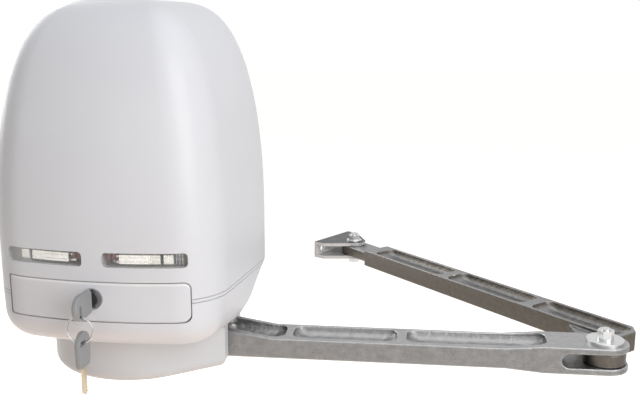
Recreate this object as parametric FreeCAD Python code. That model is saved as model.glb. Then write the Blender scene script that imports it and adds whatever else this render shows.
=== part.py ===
import FreeCAD, Part
import math
import os

# Articulated arm gate opener. Sizes are in millimetres. The model is laid out from the output
# shaft's axis at the middle plane of the arms: X along the front, the front faces -Y, Z up.
# Each finished piece is then moved so that the origin lies on the wall, at the middle of the
# wall plate's bolt holes.

# Where the wall plate lies, seen from the output shaft
SHAFT_SETBACK = 90.0
PLATE_CENTRE_HEIGHT = 115.0

# Wall plate and its bolts
PLATE_HALF_WIDTH = 74.0
PLATE_LOW = -8.0
PLATE_TOP = 238.0
PLATE_THICK = 5.0
PLATE_CORNER = 9.0
ANCHOR_SPACING_X = 122.0
ANCHOR_SPACING_Z = 160.0
ANCHOR_HOLE_R = 4.5

# Housing skin
WALL = 3.0
HOUSING_HALF_WIDTH = 110.0
HOUSING_FRONT = 106.0
HOUSING_REAR = 84.0
HOUSING_REAR_HALF_WIDTH = 100.0
FRONT_BOW_R = 342.0
FRONT_CORNER_R = 48.0
FRONT_TAPER = 7.5
SIDE_TURN_Y = 30.0
HOUSING_TOP = 313.0
DOME_START = 110.0
DOME_PEAK_OVER_TOP = 1.2
DOME_RISE_POWER = 2.3
DOME_ROUND_POWER = 3.5
DOME_STEPS = (0.0, 0.14, 0.3, 0.46, 0.62, 0.76, 0.87, 0.945, 0.98)
DOME_LEAD = 20.0
DOME_CORNER_POWER = 1.5
DOME_CORNER_GAIN = 5.0
DOME_GAIN_RISE = 0.6
SHELL_BOTTOM = 25.0
SHELL_REAR_HALF_WIDTH = 62.0
SHELL_NARROWING = 4.0
SHELL_CORNER_LOSS = 8.0
SHELL_TURN_Y = -30.0
SHELL_FALL_POWER = 0.62
BOWL_START = 50.0
BOWL_INSET = 25.0
BOWL_STEPS = 6
SEAM_LOW = 66.6
SEAM_HIGH = 70.2
SEAM_GROOVE = 0.5
SEAM_TONGUE = 1.4
SCREW_FROM_SIDE = 20.0
COVER_SCREW_Y = (-40.0, 38.0)
REAR_OPENING_HALF_WIDTH = 69.0
REAR_OPENING_LOW = 29.5
REAR_OPENING_TOP = 214.0

# Lamp lenses
LENS_INNER_X = 9.0
LENS_OUTER_X = 78.0
LENS_LOW = 98.3
LENS_HIGH = 109.9
LENS_CORNER_R = 3.4
LENS_GAP = 0.3
LAMP_TRAY_WALL = 1.6
LAMP_TRAY_DEPTH = 26.0
LAMP_BOARD_THICK = 1.6
LAMP_R = 2.5
LAMPS_PER_SIDE = 5

# Release flap, its hinge pin and the tray behind it
FLAP_HALF_WIDTH = 79.5
FLAP_LOW = 51.4
FLAP_HIGH = 84.8
FLAP_CORNER_R = 6.0
FLAP_HINGE_CORNER_R = 2.0
FLAP_GAP = 0.8
HINGE_PIN_R = 1.2
HINGE_KNUCKLE_R = 2.3
HINGE_LUG = 4.0
RUNNING_FIT = 0.05
TRAY_HALF_WIDTH = 84.0
TRAY_LOW = 43.0
TRAY_HIGH = 94.0
TRAY_REAR = -66.0
TRAY_WALL = 2.0
TRAY_CLEAR = 0.3
CATCH_CLEAR = 0.4
CATCH_THICK = 3.0
CATCH_HOLD = 5.0

# Lock and keys
LOCK_X = -1.0
LOCK_HEIGHT = 70.7
LOCK_RIM_R = 9.2
LOCK_RIM_THICK = 2.2
LOCK_BODY_R = 8.0
LOCK_DEPTH = 21.5
LOCK_PLUG_R = 5.5
LOCK_CAM_LENGTH = 19.0
LOCK_CAM_WIDTH = 9.0
LOCK_CAM_THICK = 2.0
LOCK_NUT_HEX = 22.0
LOCK_NUT_THICK = 5.0
KEY_HEAD_LENGTH = 30.0
KEY_HEAD_HEIGHT = 21.5
KEY_HEAD_THICK = 4.4
KEY_HEAD_NECK = 0.84
KEY_NECK = 2.0
KEY_SLOT_WIDTH = 3.8
KEY_SLOT_HEIGHT = 10.0
KEY_SLOT_FROM_END = 9.0
KEY_SLOT_DROP = 3.0
KEY_BLADE_LENGTH = 24.0
KEY_BLADE_WIDTH = 7.0
KEY_BLADE_THICK = 2.0
RING_MEAN_R = 11.0
RING_WIRE_R = 0.75
RING_CLEAR = 0.6

# Output shaft, gear case and bearings
SHAFT_R = 15.0
SHAFT_SQUARE = 22.0
SHAFT_JOURNAL_R = 10.0
SHAFT_GEAR_R = 14.0
SHAFT_HEX = 24.0
SEAL_R = 23.0
SEAL_HEIGHT = 7.0
LOW_BEARING_R = 27.5
LOW_BEARING_HEIGHT = 13.0
TOP_BEARING_R = 21.0
TOP_BEARING_HEIGHT = 12.0
CASE_WALL = 4.0
CASE_NECK_R = 33.0
CASE_NECK_LOW = 12.5
CASE_FOOT_R = 50.0
CASE_FOOT_THICK = 8.0
CASE_BARREL_R = 36.0
CASE_CAVITY_LOW = 50.0
CASE_TOP = 100.0
LID_THICK = 7.0
LAY_SCREW_TURN = 215.0
SCREW_EAR_R = 5.0
SCREW_EAR_DEPTH = 18.0
CASE_FRONT_POCKET_X = (-14.0, 38.0)
CASE_FRONT_Y = -58.0
CASE_FLANGE_HALF_WIDTH = 53.0
CASE_FLANGE_THICK = 10.0
CASE_FLANGE_LOW = 32.0
PLATE_BOLT_X = 44.0
PLATE_BOLT_LOW = 43.0
PLATE_BOLT_HIGH = 88.0

# Gear train
PRESSURE_ANGLE = 20.0
BACKLASH = 0.14
MAIN_MODULE = 2.0
MAIN_GEAR_TEETH = 45
MAIN_PINION_TEETH = 15
MAIN_GEAR_LOW = 60.0
MAIN_GEAR_WIDTH = 14.0
FAST_MODULE = 1.5
FAST_GEAR_TEETH = 36
FAST_PINION_TEETH = 14
FAST_GEAR_LOW = 84.0
FAST_GEAR_WIDTH = 10.0
MOTOR_BEARING = 60.0
LAY_SHAFT_R = 6.0
MOTOR_SHAFT_R = 5.0

# Clutch and release
SLEEVE_R = 22.0
SLEEVE_LOW = 79.0
SLEEVE_HIGH = 94.0
SLEEVE_GROOVE_R = 17.0
SLEEVE_GROOVE = (84.0, 89.0)
DOG_DEPTH = 4.0
FORK_ROD_Y = -38.0
FORK_ROD_R = 3.0
FORK_BOSS_R = 7.0
RELEASE_TRAVEL = 5.0
RELEASE_X = 22.0
RELEASE_HEIGHT = 66.0
SPINDLE_R = 5.0
CRANK_PIN_R = 2.0
LEVER_LENGTH = 20.0

# Geared motor and electrics
MOTOR_HEAD_R = 26.0
MOTOR_HEAD_HEIGHT = 38.0
MOTOR_CAN_R = 31.0
MOTOR_CAN_HEIGHT = 92.0
MOTOR_CAP_HEIGHT = 14.0
CHASSIS_Y = -42.0
CHASSIS_HALF_WIDTH = 58.0
CHASSIS_TOP = 246.0
CHASSIS_THICK = 1.6
CHASSIS_FOOT_HALF = 24.0
CHASSIS_FOOT_DEPTH = 14.0
BOARD_HALF_WIDTH = 52.0
BOARD_LOW = 122.0
BOARD_HIGH = 240.0
BOARD_THICK = 1.6
STANDOFF = 6.0
STANDOFF_R = 3.0
TRANSFORMER_X = 52.0
TRANSFORMER_Y = 20.0
TRANSFORMER_R = 30.0
TRANSFORMER_HEIGHT = 38.0
GLAND_X = -55.0
GLAND_Y = 70.0
GLAND_R = 5.5
GLAND_HEX = 14.0
GLAND_HEAD = 9.0
GLAND_NUT = 3.0
GLAND_BORE_R = 3.0

# Main arm
ARM_ANGLE = 2.7
ARM_LENGTH = 430.0
ARM_HALF_WIDTH = 21.0
ARM_HALF_HEIGHT = 9.5
ARM_HUB_R = 31.0
ARM_RIM = 4.5
ARM_WEB = 4.0
ARM_POCKET_HALF = 13.0
ARM_POCKET_SHIFT = 3.5
ARM_POCKETS = ((83.0, 138.0), (147.0, 241.0), (253.0, 352.0))
ROOT_HALF_HEIGHT = 17.0
ROOT_RISE = (40.0, 82.0, 128.0)
FORK_HALF_HEIGHT = 12.5
FORK_FLARE = (340.0, 374.0)
FORK_SLOT_DEPTH = 40.0
TONGUE_HALF_HEIGHT = 6.2
TONGUE_CLEAR = 0.3
ELBOW_PIN_R = 6.0
ELBOW_WASHER_R = 16.5
ELBOW_WASHER_THICK = 2.5
ELBOW_HEX = 13.0
ELBOW_THREAD_R = 4.0
ELBOW_NUT = 6.5
ELBOW_HEAD_R = 9.5
ELBOW_HEAD_THICK = 3.5
ELBOW_BOLT_END = 1.5
SPRING_WASHER_R = 7.5
SPRING_WASHER_THICK = 2.0
HUB_FLANGE_R = 17.0

# Arm cap under the housing
CAP_R = 80.0
CAP_END = 88.0
CAP_END_HALF = 34.0
CAP_WALL = 2.5
CAP_CLEAR = 0.3
CAP_TOP = 24.1
CAP_EDGE_R = 9.0
CAP_UNDER_ARM = 2.8

# Forearm
FOREARM_ANGLE = 134.4
FOREARM_LENGTH = 428.0
FOREARM_OFFSET = 42.0
FOREARM_HALF_WIDTH = 19.0
FOREARM_HALF_HEIGHT = 10.0
FOREARM_START = 4.0
FOREARM_EYE_R = 19.0
FOREARM_LUG_END = 58.0
FOREARM_POCKETS = ((26.0, 112.0), (124.0, 236.0), (248.0, 366.0))
FAR_TONGUE_LENGTH = 46.0
FAR_EYE_R = 16.0
BUSH_WALL = 2.5

# Gate bracket
BRACKET_ANGLE = 150.7
BRACKET_PIN_R = 4.0
BRACKET_REACH = 38.0
BRACKET_HALF_WIDTH = 37.0
BRACKET_END_R = 15.0
BRACKET_THICK = 4.0
BRACKET_HEX = 13.0
BRACKET_HOLE_R = 4.25
BRACKET_HOLE_SPACING = 50.0
BRACKET_WASHER_R = 10.0
BRACKET_BOLT_HEAD = 5.3
BRACKET_BOLT_END = 11.0
WASHER_THICK = 1.6

V = FreeCAD.Vector
UP = V(0, 0, 1)


def box(x0, x1, y0, y1, z0, z1):
    """Block between two corners."""
    return Part.makeBox(x1 - x0, y1 - y0, z1 - z0, V(x0, y0, z0))


def rod(radius, z0, z1, x=0.0, y=0.0):
    """Upright cylinder."""
    return Part.makeCylinder(radius, z1 - z0, V(x, y, z0))


def rod_y(radius, y0, y1, x, z):
    """Cylinder lying along Y."""
    return Part.makeCylinder(radius, y1 - y0, V(x, y0, z), V(0, 1, 0))


def tube(outer, inner, z0, z1, x=0.0, y=0.0):
    """Upright ring."""
    return rod(outer, z0, z1, x, y).cut(rod(inner, z0, z1, x, y))


def hexagon(across, z0, z1, x=0.0, y=0.0):
    """Upright hexagonal prism, measured across its flats."""
    corner = across / math.sqrt(3.0)
    turns = [math.radians(60 * k) for k in range(7)]
    points = [V(x + corner * math.cos(t), y + corner * math.sin(t), z0) for t in turns]
    return Part.Face(Part.makePolygon(points)).extrude(V(0, 0, z1 - z0))


def prism(points, z0, z1):
    """Upright prism over a closed outline of corner points."""
    corners = [V(x, y, z0) for x, y in points]
    return Part.Face(Part.makePolygon(corners + corners[:1])).extrude(V(0, 0, z1 - z0))


def side_prism(points, half_width):
    """Prism across Y over an outline given in X and Z."""
    corners = [V(x, -half_width, z) for x, z in points]
    return Part.Face(Part.makePolygon(corners + corners[:1])).extrude(V(0, 2 * half_width, 0))


def obround(x0, x1, half_width, z0, z1, y=0.0):
    """Upright slot shape with round ends."""
    a = x0 + half_width
    b = x1 - half_width
    middle = box(a, b, y - half_width, y + half_width, z0, z1)
    return middle.fuse([rod(half_width, z0, z1, a, y), rod(half_width, z0, z1, b, y)])


def window(x0, x1, z0, z1, left_r, right_r):
    """Rounded block through the front wall, with its own corner radius on the left and the right."""
    y0 = -HOUSING_FRONT - 4 * WALL
    y1 = -HOUSING_FRONT + 12 * WALL
    block = box(x0, x1, y0, y1, z0, z1)
    for side, radius in ((x0, left_r), (x1, right_r)):
        edges = [e for e in block.Edges if abs(e.Vertexes[0].Y - e.Vertexes[-1].Y) > 1.0
                 and abs(e.Vertexes[0].X - side) < 1e-6]
        block = block.makeFillet(radius, edges)
    return block


def joined(shapes):
    """One solid from overlapping shapes."""
    return shapes[0].fuse(shapes[1:]).removeSplitter()


def group(shapes):
    """Separate solids kept together in one node."""
    return Part.makeCompound(shapes)


def save(name, shape):
    """Moves a finished piece to the wall plate's origin and writes it."""
    placed = shape.copy()
    placed.translate(V(0, -SHAFT_SETBACK, -PLATE_CENTRE_HEIGHT))
    placed.exportStep(os.path.join("parts", name + ".step"))


# Plan outlines of the housing

def plan_outline(z, half_width, front, corner, turn_y, rear_half, rear):
    """Closed plan outline: bowed front, round corners, sides that widen a little and turn in at the rear."""
    bow = V(0, FRONT_BOW_R - front, z)
    taper = FRONT_TAPER * half_width / HOUSING_HALF_WIDTH
    centre_x = half_width - taper - corner
    centre = V(centre_x, bow.y - math.sqrt((FRONT_BOW_R - corner) ** 2 - centre_x ** 2), z)
    out = (centre - bow).normalize()
    front_end = bow + out * FRONT_BOW_R
    back = turn_y - centre.y
    lean = math.acos(corner / math.hypot(taper + corner, back)) - math.atan2(back, taper + corner)
    half_turn = 0.5 * (math.atan2(out.y, out.x) - lean)
    corner_mid = centre + V(math.cos(half_turn), math.sin(half_turn), 0) * corner
    side_start = centre + V(math.cos(lean), -math.sin(lean), 0) * corner
    side_end = V(half_width, turn_y, z)
    rear_end = V(rear_half, rear, z)
    sag = half_width - rear_half
    run = rear - turn_y
    turn_r = (run ** 2 + sag ** 2) / (2 * sag)
    mid_angle = 0.5 * math.asin(run / turn_r)
    turn_mid = V(half_width - turn_r, turn_y, z) + V(math.cos(mid_angle), math.sin(mid_angle), 0) * turn_r

    def mirror(p):
        return V(-p.x, p.y, p.z)

    edges = [
        Part.Arc(mirror(front_end), V(0, -front, z), front_end).toShape(),
        Part.Arc(front_end, corner_mid, side_start).toShape(),
        Part.makeLine(side_start, side_end),
        Part.Arc(side_end, turn_mid, rear_end).toShape(),
        Part.makeLine(rear_end, mirror(rear_end)),
        Part.Arc(mirror(rear_end), mirror(turn_mid), mirror(side_end)).toShape(),
        Part.makeLine(mirror(side_end), mirror(side_start)),
        Part.Arc(mirror(side_start), mirror(corner_mid), mirror(front_end)).toShape(),
    ]
    return Part.Wire(edges)


def full_outline(z, inset):
    """Plan outline of the upright part of the housing, set in by a wall."""
    return plan_outline(z, HOUSING_HALF_WIDTH - inset, HOUSING_FRONT - inset, FRONT_CORNER_R - inset,
                        SIDE_TURN_Y, HOUSING_REAR_HALF_WIDTH - inset, HOUSING_REAR - inset)


def full_prism(z0, z1, inset):
    """Upright part of the housing as a solid."""
    return Part.Face(full_outline(z0, inset)).extrude(V(0, 0, z1 - z0))


def dome(inset):
    """Solid of the hood above its upright walls."""
    peak = HOUSING_TOP + DOME_PEAK_OVER_TOP - inset
    heights = [DOME_START + s * (peak - DOME_START) for s in DOME_STEPS]
    wires = [full_outline(DOME_START - lead, inset) for lead in (DOME_LEAD, 0.5 * DOME_LEAD)]
    for z in heights + [HOUSING_TOP - inset]:
        rise = (z - DOME_START) / (peak - DOME_START)
        share = (1 - rise ** DOME_RISE_POWER) ** (1 / DOME_ROUND_POWER)
        part = min(1.0, rise / DOME_GAIN_RISE)
        gain = DOME_CORNER_GAIN * part * part * (3 - 2 * part)
        corner = (FRONT_CORNER_R + gain - inset) * share ** DOME_CORNER_POWER
        wires.append(plan_outline(z, (HOUSING_HALF_WIDTH - inset) * share, (HOUSING_FRONT - inset) * share,
                                  corner, SIDE_TURN_Y, (HOUSING_REAR_HALF_WIDTH - inset) * share,
                                  HOUSING_REAR - inset))
    below = 2 * HOUSING_HALF_WIDTH
    return Part.makeLoft(wires, True, False).cut(box(-below, below, -below, below, 0, DOME_START))


def bowl_outline(z, pull, inset):
    """Plan outline of the lower shell at one height, drawn in by its rounding and narrower at the rear."""
    fall = ((SEAM_LOW - z) / (SEAM_LOW - SHELL_BOTTOM)) ** SHELL_FALL_POWER
    half_width = HOUSING_HALF_WIDTH - SHELL_NARROWING * fall - pull
    corner = FRONT_CORNER_R - SHELL_CORNER_LOSS * fall - pull
    rear_half = HOUSING_REAR_HALF_WIDTH - (HOUSING_REAR_HALF_WIDTH - SHELL_REAR_HALF_WIDTH) * fall
    turn_y = SIDE_TURN_Y + (SHELL_TURN_Y - SIDE_TURN_Y) * fall
    rear_half = min(rear_half, half_width - 1.0)
    return plan_outline(z, half_width - inset, HOUSING_FRONT - pull - inset, corner - inset, turn_y,
                        rear_half - inset, HOUSING_REAR - inset)


def bowl(inset):
    """Solid of the lower shell, from the seam down to its flat bottom."""
    low = SHELL_BOTTOM + inset
    sections = []
    for k in range(BOWL_STEPS + 1):
        turn = math.radians(90.0 * k / BOWL_STEPS)
        z = BOWL_START - (BOWL_START - low) * math.sin(turn)
        sections.append(bowl_outline(z, BOWL_INSET * (1 - math.cos(turn)), inset))
    walls = Part.makeLoft([bowl_outline(SEAM_LOW, 0.0, inset), sections[0]], True, True)
    return walls.fuse(Part.makeLoft(sections, True, False)).removeSplitter()


def rear_opening(z0, z1):
    """Cut through the rear wall for the gear case and the wall bolts."""
    return box(-REAR_OPENING_HALF_WIDTH, REAR_OPENING_HALF_WIDTH, HOUSING_REAR - 3 * WALL,
               HOUSING_REAR + WALL, z0, z1)


def flap_window(grow):
    """Opening of the release flap, or the flap's own outline."""
    return window(-FLAP_HALF_WIDTH - grow, FLAP_HALF_WIDTH + grow, FLAP_LOW - grow, FLAP_HIGH + grow,
                  FLAP_HINGE_CORNER_R, FLAP_CORNER_R)


def lens_window(side, grow):
    """Opening of one lamp lens, or the lens's own outline."""
    xs = sorted((side * (LENS_INNER_X - grow), side * (LENS_OUTER_X + grow)))
    return window(xs[0], xs[1], LENS_LOW - grow, LENS_HIGH + grow, LENS_CORNER_R, LENS_CORNER_R)


CORNER_X = HOUSING_HALF_WIDTH - FRONT_TAPER - FRONT_CORNER_R
BOW_Y = FRONT_BOW_R - HOUSING_FRONT
CORNER_Y = BOW_Y - math.sqrt((FRONT_BOW_R - FRONT_CORNER_R) ** 2 - CORNER_X ** 2)
LOCK_FACE = BOW_Y - math.sqrt(FRONT_BOW_R ** 2 - LOCK_X ** 2)
HINGE_X = -FLAP_HALF_WIDTH + HINGE_KNUCKLE_R + 0.3
HINGE_Y = CORNER_Y - math.sqrt((FRONT_CORNER_R - HINGE_KNUCKLE_R) ** 2 - (abs(HINGE_X) - CORNER_X) ** 2)


def hinge_lug(z0, z1):
    """Eye for the flap's hinge pin, on the inside of the wall."""
    size = HINGE_KNUCKLE_R + 1.4
    block = box(HINGE_X - size, HINGE_X + size, HINGE_Y - size, HINGE_Y + size, z0, z1)
    eye = rod(HINGE_PIN_R + RUNNING_FIT, z0, z1, HINGE_X, HINGE_Y)
    return block.common(full_prism(z0, z1, 0.0)).cut(eye)


COVER_SCREW_X = HOUSING_HALF_WIDTH - SCREW_FROM_SIDE
COVER_SCREWS = [(sx * COVER_SCREW_X, y) for sx in (-1, 1) for y in COVER_SCREW_Y]
SCREW_R = 2.0
SCREW_HEAD_R = 3.8
SCREW_BOSS_R = 5.6
SCREW_SEAT = 44.0
SCREW_END = 88.0


def upper_cover():
    """Domed hood with lens openings, the upper half of the flap opening and a rear rim."""
    outer = full_prism(SEAM_HIGH, DOME_START, 0.0).fuse(dome(0.0))
    inner = full_prism(SEAM_HIGH, DOME_START, WALL).fuse(dome(WALL))
    shell = outer.cut(inner)
    bosses = [rod(SCREW_BOSS_R, SEAM_HIGH, SCREW_END + 4, x, y) for x, y in COVER_SCREWS]
    ribs = [box(min(x, math.copysign(HOUSING_HALF_WIDTH, x)), max(x, math.copysign(HOUSING_HALF_WIDTH, x)),
                y - 2, y + 2, SEAM_HIGH, SCREW_END) for x, y in COVER_SCREWS]
    posts = joined(bosses + ribs).common(full_prism(SEAM_HIGH, DOME_START, 0.0))
    lug = hinge_lug(FLAP_HIGH + FLAP_GAP, FLAP_HIGH + FLAP_GAP + HINGE_LUG)
    shell = shell.cut([flap_window(FLAP_GAP), lens_window(-1, LENS_GAP), lens_window(1, LENS_GAP)])
    shell = joined([shell, posts, lug])
    holes = [rod(SCREW_R - 0.2, SEAM_HIGH, SCREW_END, x, y) for x, y in COVER_SCREWS]
    pin = rod(HINGE_PIN_R + RUNNING_FIT, FLAP_HIGH - FLAP_HINGE_CORNER_R, FLAP_HIGH + FLAP_GAP + HINGE_LUG,
              HINGE_X, HINGE_Y)
    return shell.cut(holes + [pin, rear_opening(SEAM_HIGH, REAR_OPENING_TOP)])


def lower_shell():
    """Bowl under the seam with screw posts, the lower half of the flap opening and a shaft hole."""
    outer = bowl(0.0)
    shell = outer.cut(bowl(WALL))
    posts = [rod(SCREW_BOSS_R, SHELL_BOTTOM, SEAM_LOW, x, y) for x, y in COVER_SCREWS]
    posts = joined(posts).common(outer)
    lug = hinge_lug(FLAP_LOW - FLAP_GAP - HINGE_LUG, FLAP_LOW - FLAP_GAP).common(outer)
    shell = joined([shell.cut(flap_window(FLAP_GAP)), posts, lug])
    cuts = [rod(CASE_NECK_R + 0.5, 0, SEAM_LOW, 0, 0), rear_opening(REAR_OPENING_LOW, SEAM_LOW)]
    cuts += [rod(SCREW_R + 0.2, 0, SEAM_LOW, x, y) for x, y in COVER_SCREWS]
    cuts += [rod(SCREW_HEAD_R + 0.3, 0, SCREW_SEAT, x, y) for x, y in COVER_SCREWS]
    cuts += [rod(SCREW_R + 0.2, 0, SEAM_LOW, x, y) for x, y in SHELL_SCREWS]
    cuts.append(rod(GLAND_R, 0, SEAM_LOW, GLAND_X, GLAND_Y))
    cuts.append(rod(HINGE_PIN_R + RUNNING_FIT, FLAP_LOW - FLAP_GAP - HINGE_LUG,
                    FLAP_LOW + FLAP_HINGE_CORNER_R, HINGE_X, HINGE_Y))
    return shell.cut(cuts)


def seam_band():
    """Band between hood and lower shell, with a tongue that keeps a thin groove above and below it."""
    outer = full_prism(SEAM_LOW + SEAM_GROOVE, SEAM_HIGH - SEAM_GROOVE, 0.0)
    tongue = full_prism(SEAM_LOW, SEAM_HIGH, SEAM_TONGUE)
    ring = outer.fuse(tongue).cut(full_prism(SEAM_LOW, SEAM_HIGH, WALL)).removeSplitter()
    return ring.cut([flap_window(FLAP_GAP), rear_opening(SEAM_LOW, SEAM_HIGH)])


def cover_screws():
    """Long screws from under the shell into the hood's posts."""
    screws = []
    for x, y in COVER_SCREWS:
        head = rod(SCREW_HEAD_R, SCREW_SEAT - 3, SCREW_SEAT, x, y)
        screws.append(joined([head, rod(SCREW_R - 0.2, SCREW_SEAT, SCREW_END - 2, x, y)]))
    return group(screws)


SHELL_SCREW_R = 42.0
SHELL_SCREWS = [(SHELL_SCREW_R * math.cos(math.radians(a)), SHELL_SCREW_R * math.sin(math.radians(a)))
                for a in (45, 135, 225, 315)]


def shell_screws():
    """Screws that hold the lower shell to the gear case's foot, as a list."""
    screws = []
    for x, y in SHELL_SCREWS:
        head = rod(SCREW_HEAD_R, SHELL_BOTTOM - 2.4, SHELL_BOTTOM, x, y)
        screws.append(joined([head, rod(SCREW_R, SHELL_BOTTOM, SHELL_BOTTOM + 9, x, y)]))
    return screws


def cable_gland():
    """Gland for the supply cable in the bottom of the lower shell."""
    nut_low = SHELL_BOTTOM + WALL
    body = joined([rod(GLAND_R, SHELL_BOTTOM, nut_low + GLAND_NUT, GLAND_X, GLAND_Y),
                   hexagon(GLAND_HEX, SHELL_BOTTOM - GLAND_HEAD, SHELL_BOTTOM, GLAND_X, GLAND_Y),
                   hexagon(GLAND_HEX, nut_low, nut_low + GLAND_NUT, GLAND_X, GLAND_Y)])
    return body.cut(rod(GLAND_BORE_R, 0, SEAM_LOW, GLAND_X, GLAND_Y))


# Lamps

def lenses():
    """Clear strips that fill their openings and follow the bowed front."""
    skin = full_prism(LENS_LOW - 1, LENS_HIGH + 1, 0.0).cut(full_prism(LENS_LOW - 1, LENS_HIGH + 1, WALL))
    return group([skin.common(lens_window(side, 0.0)) for side in (-1, 1)])


def lamp_rear():
    """Y of a lamp tray's rear wall, inside."""
    return -HOUSING_FRONT + WALL + LAMP_TRAY_DEPTH


def lamp_tray(side):
    """Open tray behind a lens, trimmed to the inside of the hood."""
    grow = LAMP_TRAY_WALL
    xs = sorted((side * (LENS_INNER_X - 1), side * (LENS_OUTER_X + 1)))
    y0 = -HOUSING_FRONT
    y1 = lamp_rear()
    outer = box(xs[0] - grow, xs[1] + grow, y0, y1 + grow, LENS_LOW - 1 - grow, LENS_HIGH + 1 + grow)
    hollow = box(xs[0], xs[1], y0 - 1, y1, LENS_LOW - 1, LENS_HIGH + 1)
    return outer.cut(hollow).common(full_prism(LENS_LOW - 4, LENS_HIGH + 4, WALL))


def lamp_trays():
    """Trays of the left and the right lamp."""
    return group([lamp_tray(side) for side in (-1, 1)])


def lamp_boards():
    """Strip boards on the trays' rear walls."""
    y1 = lamp_rear()
    boards = []
    for side in (-1, 1):
        xs = sorted((side * (LENS_INNER_X + 1), side * (LENS_OUTER_X - 1)))
        boards.append(box(xs[0], xs[1], y1 - LAMP_BOARD_THICK, y1, LENS_LOW + 1, LENS_HIGH - 1))
    return group(boards)


def lamps():
    """Lamps along both strip boards."""
    pieces = []
    y1 = lamp_rear() - LAMP_BOARD_THICK
    pitch = (LENS_OUTER_X - LENS_INNER_X) / LAMPS_PER_SIDE
    z = 0.5 * (LENS_LOW + LENS_HIGH)
    for side in (-1, 1):
        for k in range(LAMPS_PER_SIDE):
            x = side * (LENS_INNER_X + (k + 0.5) * pitch)
            pieces.append(joined([rod_y(LAMP_R, y1 - 3, y1, x, z), rod_y(LAMP_R + 0.8, y1 - 1, y1, x, z)]))
    return group(pieces)


# Release flap, lock and keys

def release_flap():
    """Curved flap flush with the front, with a round hinge edge on the left."""
    skin = full_prism(FLAP_LOW - 1, FLAP_HIGH + 1, 0.0).cut(full_prism(FLAP_LOW - 1, FLAP_HIGH + 1, WALL))
    plate = skin.common(flap_window(0.0))
    plate = plate.cut(box(-FLAP_HALF_WIDTH - 1, HINGE_X, -2 * HOUSING_FRONT, 0, FLAP_LOW, FLAP_HIGH))
    low = FLAP_LOW + 0.2
    high = FLAP_HIGH - 0.2
    knuckle = rod(HINGE_KNUCKLE_R, low, high, HINGE_X, HINGE_Y)
    bridge = box(HINGE_X, HINGE_X + 6, HINGE_Y - HINGE_KNUCKLE_R, HINGE_Y + HINGE_KNUCKLE_R, low, high)
    bridge = bridge.common(full_prism(low, high, 0.0))
    edge = knuckle.fuse(bridge).common(flap_window(0.0))
    flap = joined([plate, edge])
    pivots = rod(HINGE_PIN_R, FLAP_LOW - FLAP_GAP - HINGE_LUG + 0.3, FLAP_HIGH + FLAP_GAP + HINGE_LUG - 0.3,
                 HINGE_X, HINGE_Y)
    seat = rod_y(LOCK_BODY_R, LOCK_FACE - 5, LOCK_FACE + 10, LOCK_X, LOCK_HEIGHT)
    return joined([flap.cut(seat), pivots])


def lock_barrel():
    """Cam lock's fixed barrel, with its rim proud of the flap."""
    rim = rod_y(LOCK_RIM_R, LOCK_FACE - LOCK_RIM_THICK, LOCK_FACE, LOCK_X, LOCK_HEIGHT)
    body = rod_y(LOCK_BODY_R, LOCK_FACE, LOCK_FACE + LOCK_DEPTH, LOCK_X, LOCK_HEIGHT)
    bore = rod_y(LOCK_PLUG_R + RUNNING_FIT, LOCK_FACE - 9, LOCK_FACE + LOCK_DEPTH + 9, LOCK_X, LOCK_HEIGHT)
    return joined([rim, body]).cut(bore)


def lock_nut():
    """Nut that clamps the barrel behind the flap."""
    nut = hexagon(LOCK_NUT_HEX, 0, LOCK_NUT_THICK)
    nut.rotate(V(0, 0, 0), V(1, 0, 0), -90)
    nut.translate(V(LOCK_X, LOCK_FACE + WALL + 0.3, LOCK_HEIGHT))
    return nut.cut(rod_y(LOCK_BODY_R, LOCK_FACE, LOCK_FACE + 20, LOCK_X, LOCK_HEIGHT))


PLUG_FRONT = LOCK_FACE - LOCK_RIM_THICK - 0.4
PLUG_REAR = LOCK_FACE + LOCK_DEPTH + 0.4
KEY_HEAD_REAR = PLUG_FRONT - KEY_NECK
KEY_HEAD_FRONT = KEY_HEAD_REAR - KEY_HEAD_LENGTH


def lock_plug():
    """Turning plug with the keyway and a square tail for the cam."""
    plug = rod_y(LOCK_PLUG_R, PLUG_FRONT, PLUG_REAR, LOCK_X, LOCK_HEIGHT)
    tail = box(LOCK_X - 3, LOCK_X + 3, PLUG_REAR, PLUG_REAR + LOCK_CAM_THICK,
               LOCK_HEIGHT - 3, LOCK_HEIGHT + 3)
    half_t = 0.5 * KEY_BLADE_THICK + 0.1
    half_w = 0.5 * KEY_BLADE_WIDTH + 0.1
    keyway_end = PLUG_FRONT + KEY_BLADE_LENGTH - KEY_NECK + 0.5
    keyway = box(LOCK_X - half_t, LOCK_X + half_t, PLUG_FRONT - 1, keyway_end,
                 LOCK_HEIGHT - half_w, LOCK_HEIGHT + half_w)
    return joined([plug, tail]).cut(keyway)


def lock_cam():
    """Cam on the plug's tail: level while open, behind the hood's edge when locked."""
    end = LOCK_X - LOCK_CAM_LENGTH
    half = 0.5 * LOCK_CAM_WIDTH
    y0 = PLUG_REAR
    y1 = PLUG_REAR + LOCK_CAM_THICK
    arm = joined([box(end + half, LOCK_X, y0, y1, LOCK_HEIGHT - half, LOCK_HEIGHT + half),
                  rod_y(half, y0, y1, end + half, LOCK_HEIGHT),
                  rod_y(half + 1, y0, y1, LOCK_X, LOCK_HEIGHT)])
    return arm.cut(box(LOCK_X - 3, LOCK_X + 3, y0, y1, LOCK_HEIGHT - 3, LOCK_HEIGHT + 3))


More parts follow.
